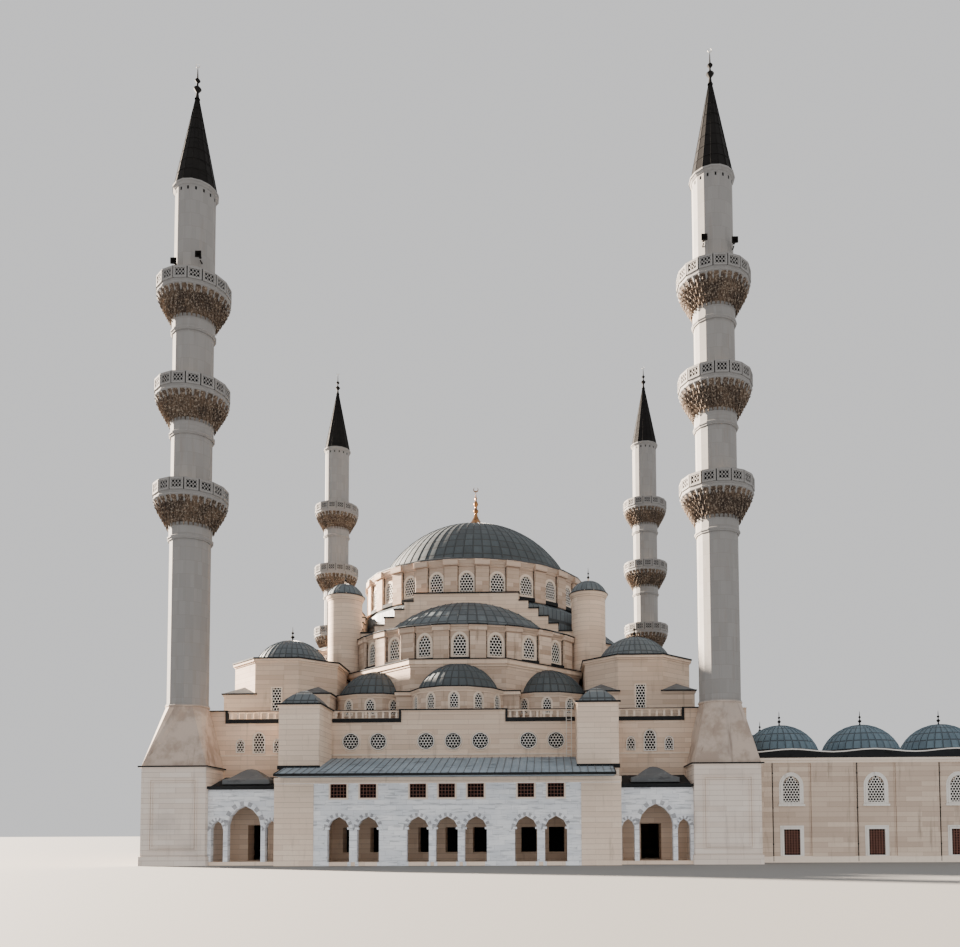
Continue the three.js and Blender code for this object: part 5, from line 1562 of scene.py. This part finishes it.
places = [side @ shift(x) for side in SHORT_SIDES for x in ALONG]
fit_windows((1.26, 8.42, 9.78, 10.52), -HALL, places, white_rings, 0.26, 0.07, 0.16)
low_form = (1.32, 0.97, 2.98, 2.98)
low_ring = border("ring", window_outline(low_form, -HALL - 0.05), 0.16, (0, 0.16, 0))
white_rings.append(stamp("ring", low_ring, places))
iron = stamp("iron", grille(low_form, -HALL + 0.06, 4, 6), places)
jambs = [block("jamb", (x - 0.16, -HALL - 0.12, 0.04), (x + 0.16, -HALL + 0.08, 4.3))
         for x in (-1.36, 1.36)]
lintel = block("lintel", (-1.56, -HALL - 0.14, 4.3), (1.56, -HALL + 0.08, 4.66))
white_rings.append(stamp("door", joined("door", jambs + [lintel]), SHORT_SIDES[:1]))
print("windows of the short sides", 2 * len(places))

# %% [markdown]
# The gallery front is marble. Each arch has a raised ring of wedge-shaped stones, white and grey by
# turns. One wedge is the quadrilateral between two points of the arch and the same two points
# pushed outwards. The white ones stand a little further forward.

# %% Arches of the galleries
ARCH_X = [0, 2.29, -2.29, 6.25, -6.25, 8.61, -8.61]
ARCADE_Y = -29.5
BAY_X = 16.62
BAY_Y = -28.1
ARCH_FORM = (1.75, 0.3, 3.05, 3.91)
BAY_FORM = (2.7, 0.3, 3.3, 4.85)
SMALL_FORM = (1.02, 0.3, 3.0, 3.66)


def voussoirs(form, face, width, first, deep=0.14):
    inner = window_outline(form, face, 7)[1:-1]
    outer = grown(inner, width)
    wedges = []
    for k in range(first, len(inner) - 1, 2):
        corners = [inner[k], inner[k + 1], tuple(outer[k + 1]), tuple(outer[k])]
        wedges.append(slab("wedge", corners, (0, deep, 0)))
    return joined("wedges", wedges)


gallery_places = [side @ shift(x) for side in LONG_SIDES for x in ARCH_X]
bay_places = [side @ shift(x) for side in LONG_SIDES for x in (-BAY_X, BAY_X)]
small_arches = [bay @ shift(x) for bay in bay_places for x in (-2.22, 2.22)]
ARCHES = [
    (ARCH_FORM, ARCADE_Y - 0.1, 0.26, gallery_places),
    (BAY_FORM, BAY_Y - 0.1, 0.34, bay_places),
    (SMALL_FORM, BAY_Y - 0.09, 0.22, small_arches),
]
marble_work = []
grey_work = []
for form, face, width, places in ARCHES:
    marble_work.append(stamp("rings", voussoirs(form, face, width, 0), places))
    grey_work.append(stamp("rings", voussoirs(form, face + 0.04, width, 1), places))
print("arches", sum(len(places) for form, face, width, places in ARCHES))

# %% [markdown]
# An arch stands on two blocks with a plain capital. Low rails of marble run along the foot of the
# front and under the upper windows, and each corner bay ends in a fascia. The end piers and the
# top fascia are of the hall's stone.

# %% Capitals, rails and end piers
PIER_X = 0.875
supports = []
for x in (-PIER_X, PIER_X):
    supports.append(block("capital", (x - 0.16, ARCADE_Y - 0.1, 2.86),
                          (x + 0.16, ARCADE_Y + 0.3, 3.05), 0.03))
    supports.append(block("plinth", (x - 0.14, ARCADE_Y - 0.07, 0.0),
                          (x + 0.14, ARCADE_Y + 0.3, 0.32), 0.03))
marble_work.append(stamp("capitals", joined("supports", supports), gallery_places))
end_piers = [block("facing", (low, ARCADE_Y - 0.1, 0.0), (high, ARCADE_Y + 0.1, 6.56), 0.02)
             for low, high in both_sides(10.6, 13.74)]
end_piers.append(block("fascia", (-13.76, ARCADE_Y - 0.16, 6.53), (13.76, ARCADE_Y + 0.2, 7.0), 0.03))
settle(stamp("end_piers", joined("facing", end_piers), LONG_SIDES), wall_stone, "stone")
rails = [block("string", (-10.6, ARCADE_Y - 0.06, 4.72), (10.6, ARCADE_Y + 0.2, 4.84), 0.02)]
rails += [block("plinth", (low, ARCADE_Y - 0.06, 0.0), (high, ARCADE_Y + 0.2, 0.4), 0.02)
          for low, high in both_sides(9.55, 10.6) + both_sides(3.25, 5.3)]
rails += [block("fascia", (low, BAY_Y - 0.09, 5.86), (high, BAY_Y + 0.2, 6.16), 0.02)
          for low, high in both_sides(13.74, 19.58)]
marble_work.append(stamp("rails", joined("rail", rails), LONG_SIDES))
settle(joined("marble_work", marble_work), marble, "marble")
settle(joined("grey_marble_work", grey_work), grey_marble, "marble")
print("triangles so far", triangles_added)

# %% [markdown]
# Above the arches are square windows. Each has a stone surround, a brown metal frame inside it
# and a grille of thin bars.

# %% Upper windows of the galleries
GALLERY_WINDOW = (1.3, 5.37, 6.48, 6.48)
surround = border("surround", window_outline(GALLERY_WINDOW, ARCADE_Y - 0.05), 0.13, (0, 0.1, 0))
stone_rings.append(stamp("surrounds", surround, gallery_places))
bars = grille(GALLERY_WINDOW, ARCADE_Y + 0.03, 5, 4, 0.045)
brown = border("brown", window_outline((1.2, 5.42, 6.43, 6.43), ARCADE_Y), 0.06, (0, 0.1, 0))
settle(stamp("gallery_frames", joined("brown", [brown, bars]), gallery_places), red_metal, "copper")
pane = slab("pane", window_outline(GALLERY_WINDOW, ARCADE_Y + 0.14), (0, 0.03, 0))
panes.append(stamp("pane", pane, gallery_places))
print("upper windows of the galleries", len(gallery_places))

# %% [markdown]
# The lean-to roofs are sheets of lead with rounded rolls running down the slope. A roll is a small
# profile, pushed from the top of the slope to the eave.

# %% Rolls of the gallery roofs
ROLL_R = 0.025
ROLL_STEP = 0.6
RIDGE = (-24.72, 8.96)
EAVE = (-31.58, 7.19)
roll_top = RIDGE[1] + ROLL_R
roll_profile = [(-ROLL_R, *RIDGE), (-ROLL_R / 2, RIDGE[0], roll_top), (ROLL_R / 2, RIDGE[0], roll_top),
                (ROLL_R, *RIDGE)]
gallery_roll = slab("roll", roll_profile, (0, EAVE[0] - RIDGE[0], EAVE[1] - RIDGE[1]))
places = [side @ shift(-12.9 + ROLL_STEP * i) for side in LONG_SIDES for i in range(44)]
settle(stamp("rolls", gallery_roll, places), cap_lead, "lead")
print("rolls", len(places))

# %% [markdown]
# A dark turned-down edge runs along each eave and down both ends of the slope, and a strip of
# lead closes the joint under each buttress. Over each corner bay stands a bell-shaped cap on a
# square foot.

# %% Edges and bay caps of the galleries
edges = [block("eave", (-13.2, -31.66, 7.0), (13.2, -31.52, 7.2), 0.02)]
for s in (-1, 1):
    x = s * 13.14
    side_plan = [(x, -31.6, 7.0), (x, -31.6, 7.2), (x, -24.7, 8.98), (x, -24.7, 8.78)]
    edges.append(slab("end", side_plan, (s * 0.07, 0, 0)))
    edges.append(block("flashing", (s * BUTTRESS_X - 1.72, -28.97, 7.7),
                       (s * BUTTRESS_X + 1.72, -28.8, 8.02), 0.02))
edges += [block("eave", (low, -28.42, 6.2), (high, -28.3, 6.42), 0.02)
          for low, high in both_sides(13.7, 19.6)]
bay_caps = []
for x in (-BAY_X, BAY_X):
    cap = joined("cap", [pyramid("cap", 1.95, 1.45, 6.98, 7.95, BELL),
                         block("foot", (-1.95, -1.45, 6.6), (1.95, 1.4, 7.0), 0.02)])
    cap.data.transform(shift(x, -26.4))
    bay_caps.append(cap)
settle(stamp("bay_caps", joined("caps", bay_caps), LONG_SIDES), cap_lead, "lead")
settle(stamp("gallery_edges", joined("edges", edges), LONG_SIDES), edge_lead, "dark_lead")
print("triangles so far", triangles_added)

# %% [markdown]
# Seventeen low domes stand on the portico and the two wings of the court, under lead with thin
# seams. Each has a lead ring round its foot and a small dark finial.

# %% Court domes
COURT_X = [28.3, 35.29, 42.07, 48.85, 55.63, 62.41]
WING_DOME_Y = 21.3
COURT_R = 3.24
court_ball_r = sphere_of(COURT_R, 2.32)
places = [shift(x, s * WING_DOME_Y) for x in COURT_X for s in (-1, 1)]
places += [shift(COURT_X[0], y) for y in (0, 7.16, -7.16, 14.32, -14.32)]
court_dome = lead_cap("court_dome", (court_ball_r, 11.82 - court_ball_r), COURT_R, 30, 5, 7)
drum_ring = spun("ring", [(3.0, 9.1), (3.34, 9.1), (3.34, 9.46), (3.2, 9.54), (3.0, 9.54)], 30)
settle(stamp("court_domes", court_dome, places), court_lead, "lead")
settle(stamp("court_dome_rings", drum_ring, places), edge_lead, "dark_lead")
settle(stamp("court_finials", finial("tip", 11.76, 13.1, 0.17, 8), places), spire_lead, "dark_lead")
print("court domes", len(places))

# %% [markdown]
# A black band of lead runs along the wing walls under the domes. Its top is wavy, one wave over
# each dome, and a pale rim follows it. Band and rim are slabs with the same curve, written as a
# cosine.

# %% Court bands and rims
COURT_Y = 24.7
WING_FROM = 24.9
WING_TO = 65.9
BAND_LOW = 8.72
SPAN = 6.78
WAVE_STEPS = 8


def wave(start, count, height):
    points = []
    for i in range(count * WAVE_STEPS + 1):
        rise = 0.5 - 0.5 * math.cos(2 * math.pi * i / WAVE_STEPS)
        points.append((start + SPAN * i / WAVE_STEPS, height * rise))
    return points


rim_from = COURT_X[0] - SPAN / 2 + 0.1
tops = [(x, 9.16 + z) for x, z in wave(rim_from, 6, 0.24) if x < WING_TO]
outline = [(x, -COURT_Y - 0.2, z) for x, z in tops]
outline += [(x, -COURT_Y - 0.2, z + 0.1) for x, z in reversed(tops)]
rim = slab("rim", outline, (0, 0.3, 0))
outline = [(WING_FROM, BAND_LOW)] + tops + [(tops[-1][0], BAND_LOW)]
band = slab("band", [(x, -COURT_Y - 0.16, z) for x, z in outline], (0, 0.26, 0))
end_band = block("band", (65.78, -COURT_Y - 0.1, BAND_LOW), (65.95, -17.8, 9.16), 0.02)
pair = [Matrix.Identity(4), Matrix.Scale(-1, 4, (0, 1, 0))]
settle(stamp("court_rims", rim, pair), plaster, "pale_stone")
settle(stamp("court_bands", joined("band", [band, end_band]), pair), edge_lead, "dark_lead")
print("points along the wavy edge", len(tops))

# %% [markdown]
# Under the band the wing walls have a stepped cornice, and at their foot a plinth. All three are
# blocks along the whole wing.

# %% Cornice and plinth of the wings
def along_wing(name, reach, low, high, end):
    return block(name, (WING_FROM, -COURT_Y - reach, low), (end, -COURT_Y + 0.1, high), 0.03)


cornices = [along_wing("cornice", 0.12, 8.3, 8.52, 65.88),
            along_wing("cornice", 0.2, 8.5, BAND_LOW, WING_TO),
            along_wing("plinth", 0.08, 0.0, 0.55, 65.86)]
settle(stamp("court_cornices", joined("cornice", cornices), pair), trim_stone, "stone")
print("triangles so far", triangles_added)

# %% [markdown]
# Each bay of a wing has an arched window over a square one, both in double frames. A sill of
# plaster lies under the upper one, and the lower one is closed by a close grille of brown bars.

# %% Court windows
bays = [mirror @ shift(x) for mirror in pair for x in COURT_X]
fit_windows((1.36, 5.02, 6.46, 7.2), -COURT_Y, bays, white_rings, 0.24, 0.06, 0.18)
outer_ring = border("ring", window_outline((1.74, 4.84, 6.46, 7.38), -COURT_Y - 0.02), 0.14, (0, 0.1, 0))
white_rings.append(stamp("ring", outer_ring, bays))
low_form = (1.34, 0.62, 2.76, 2.76)
frame_ring = border("ring", window_outline(low_form, -COURT_Y - 0.06), 0.17, (0, 0.16, 0))
outer_ring = border("ring", window_outline((1.7, 0.44, 2.94, 2.94), -COURT_Y - 0.03), 0.13, (0, 0.1, 0))
sill = block("sill", (-1.1, -COURT_Y - 0.16, 4.68), (1.1, -COURT_Y + 0.1, 4.86), 0.02)
white_rings.append(stamp("ring", joined("ring", [frame_ring, outer_ring, sill]), bays))
bars = stamp("court_grilles", grille(low_form, -COURT_Y + 0.05, 6, 10, 0.08), bays)
settle(bars, red_metal, "copper")
pane = slab("pane", window_outline(low_form, -COURT_Y + 0.2), (0, 0.03, 0))
panes.append(stamp("pane", pane, bays))
print("windows of the court", 2 * len(bays))

# %% [markdown]
# Between the bays the wall stands a little forward in wide strips, so that each bay is a shallow
# panel, with a thin raised line beside it.

# %% Strips of the wings
strips = [block("strip", (x + 1.62, -COURT_Y - 0.1, 0.5),
                (min(x + 5.16, 65.86), -COURT_Y + 0.1, 8.34), 0.02)
          for x in [COURT_X[0] - SPAN] + COURT_X]
strips += [block("line", (x + 1.5, -COURT_Y - 0.05, 0.5), (x + 1.56, -COURT_Y + 0.1, 8.34))
           for x in COURT_X]
settle(stamp("court_strips", joined("strips", strips), pair), court_stone, "stone")
print("triangles so far", triangles_added)

# %% [markdown]
# A dark rainwater pipe with three clips runs down beside each bay. A white ladder leads from the
# gallery's roof up the near wall. The iron bars of the short sides settle here too.

# %% Pipes, ladder and iron work
PIPE_R = 0.035
LADDER_X = 9.55
pipe = spun("pipe", [(0.0, 0.1), (PIPE_R, 0.1), (PIPE_R, 8.3), (0, 8.3)], 8, 40)
clips = [spun("clip", [(0.03, z), (0.065, z), (0.065, z + 0.08), (0.03, z + 0.08)], 8)
         for z in (1.5, 4.5, 7.4)]
pipe = joined("pipe", [pipe] + clips)
pipe.data.transform(shift(-1.56, -COURT_Y - 0.06))
settle(stamp("rain_pipes", pipe, bays), edge_lead, "dark_lead")
rungs = [9.1 + 0.33 * i for i in range(14)]
ladder = [block("rung", (LADDER_X + 0.02, -24.97, z), (LADDER_X + 0.45, -24.93, z + 0.03)) for z in rungs]
for x in (LADDER_X, LADDER_X + 0.43):
    ladder.append(block("rail", (x, -24.98, 8.9), (x + 0.05, -24.92, 13.6)))
    ladder.append(block("arm", (x, -24.95, 13.0), (x + 0.05, -24.4, 13.05)))
white_rings.append(joined("ladder", ladder))
settle(joined("iron_work", [iron]), edge_lead, "dark_lead")
print("triangles so far", triangles_added)

# %% [markdown]
# The big finial is turned in one piece: a tall concave flare, a ball, a neck, a second ball and a
# long rod. A thin crescent stands on its tip.

# %% Main finial
FINIAL_FOOT = 37.15
FINIAL_HEIGHT = 4.91
shape = [(1.35, 0.0), (1.06, 0.06), (0.74, 0.13), (0.52, 0.19), (0.34, 0.25), (0.22, 0.31), (0.16, 0.36),
         (0.16, 0.38), (0.27, 0.405), (0.3, 0.43), (0.26, 0.455), (0.14, 0.48), (0.13, 0.53), (0.22, 0.56),
         (0.27, 0.59), (0.23, 0.625), (0.12, 0.66), (0.09, 0.7), (0.15, 0.73), (0.08, 0.76), (0.04, 0.82),
         (0.03, 0.91), (0, 0.915)]
rod = spun("rod", [(r, FINIAL_FOOT + FINIAL_HEIGHT * z) for r, z in shape], 20, 60)
moon = crescent("moon", 41.76, 0.3, 0.06)
settle(joined("main_finial_gilt", [rod, moon]), gilding, "copper", "main_finial")
print("triangles so far", triangles_added)

# %% [markdown]
# The four lists are full now, so the window work settles. The lattices are the finest meshes here,
# and are kept in two pieces: those of the drums, exedrae and towers, and those of the hall and court.

# %% Finish all the window work
settle(joined("stone_rings", stone_rings), trim_stone, "stone")
settle(joined("white_rings", white_rings), plaster, "pale_stone")
settle(joined("upper_lattices", lattices[:UPPER_KINDS]), plaster, "pale_stone")
settle(joined("hall_lattices", lattices[UPPER_KINDS:]), plaster, "pale_stone")
settle(joined("window_panes", panes), glass, "glass")
print("triangles so far", triangles_added)

# %% [markdown]
# A plain pale floor and soft light: one broad warm light from the left, as the sun stands in the
# photograph, and an even pale surround.

# %% Floor and light
TO_SUN = Vector((-0.883, 0.469, 0.31))
SUN_ENERGY = 50.0
SUN_COLOUR = (1.0, 0.85, 0.70)
SKY_COLOUR = (0.89, 0.89, 0.90, 1)
SKY_STRENGTH = 0.90
bpy.ops.mesh.primitive_plane_add(size=120, location=(0, 0, 0))
floor = bpy.context.object
floor.name = "floor"
f = Finish("floor_paper")
floor.data.materials.append(f.finish(Base_Color=(0.24, 0.235, 0.225), Roughness=0.9))
floor.visible_diffuse = False

sun = bpy.data.objects.new("sun", bpy.data.lights.new("sun", "SUN"))
bpy.context.scene.collection.objects.link(sun)
sun.data.energy = SUN_ENERGY
sun.data.angle = math.radians(3)
sun.data.color = SUN_COLOUR
sun.rotation_euler = TO_SUN.to_track_quat("Z", "Y").to_euler()
world = bpy.data.worlds.new("studio")
world.use_nodes = True
world.node_tree.nodes["Background"].inputs[0].default_value = SKY_COLOUR
world.node_tree.nodes["Background"].inputs[1].default_value = SKY_STRENGTH
bpy.context.scene.world = world
print("sun", round(math.degrees(math.asin(TO_SUN.normalized().z))), "degrees above the ground")
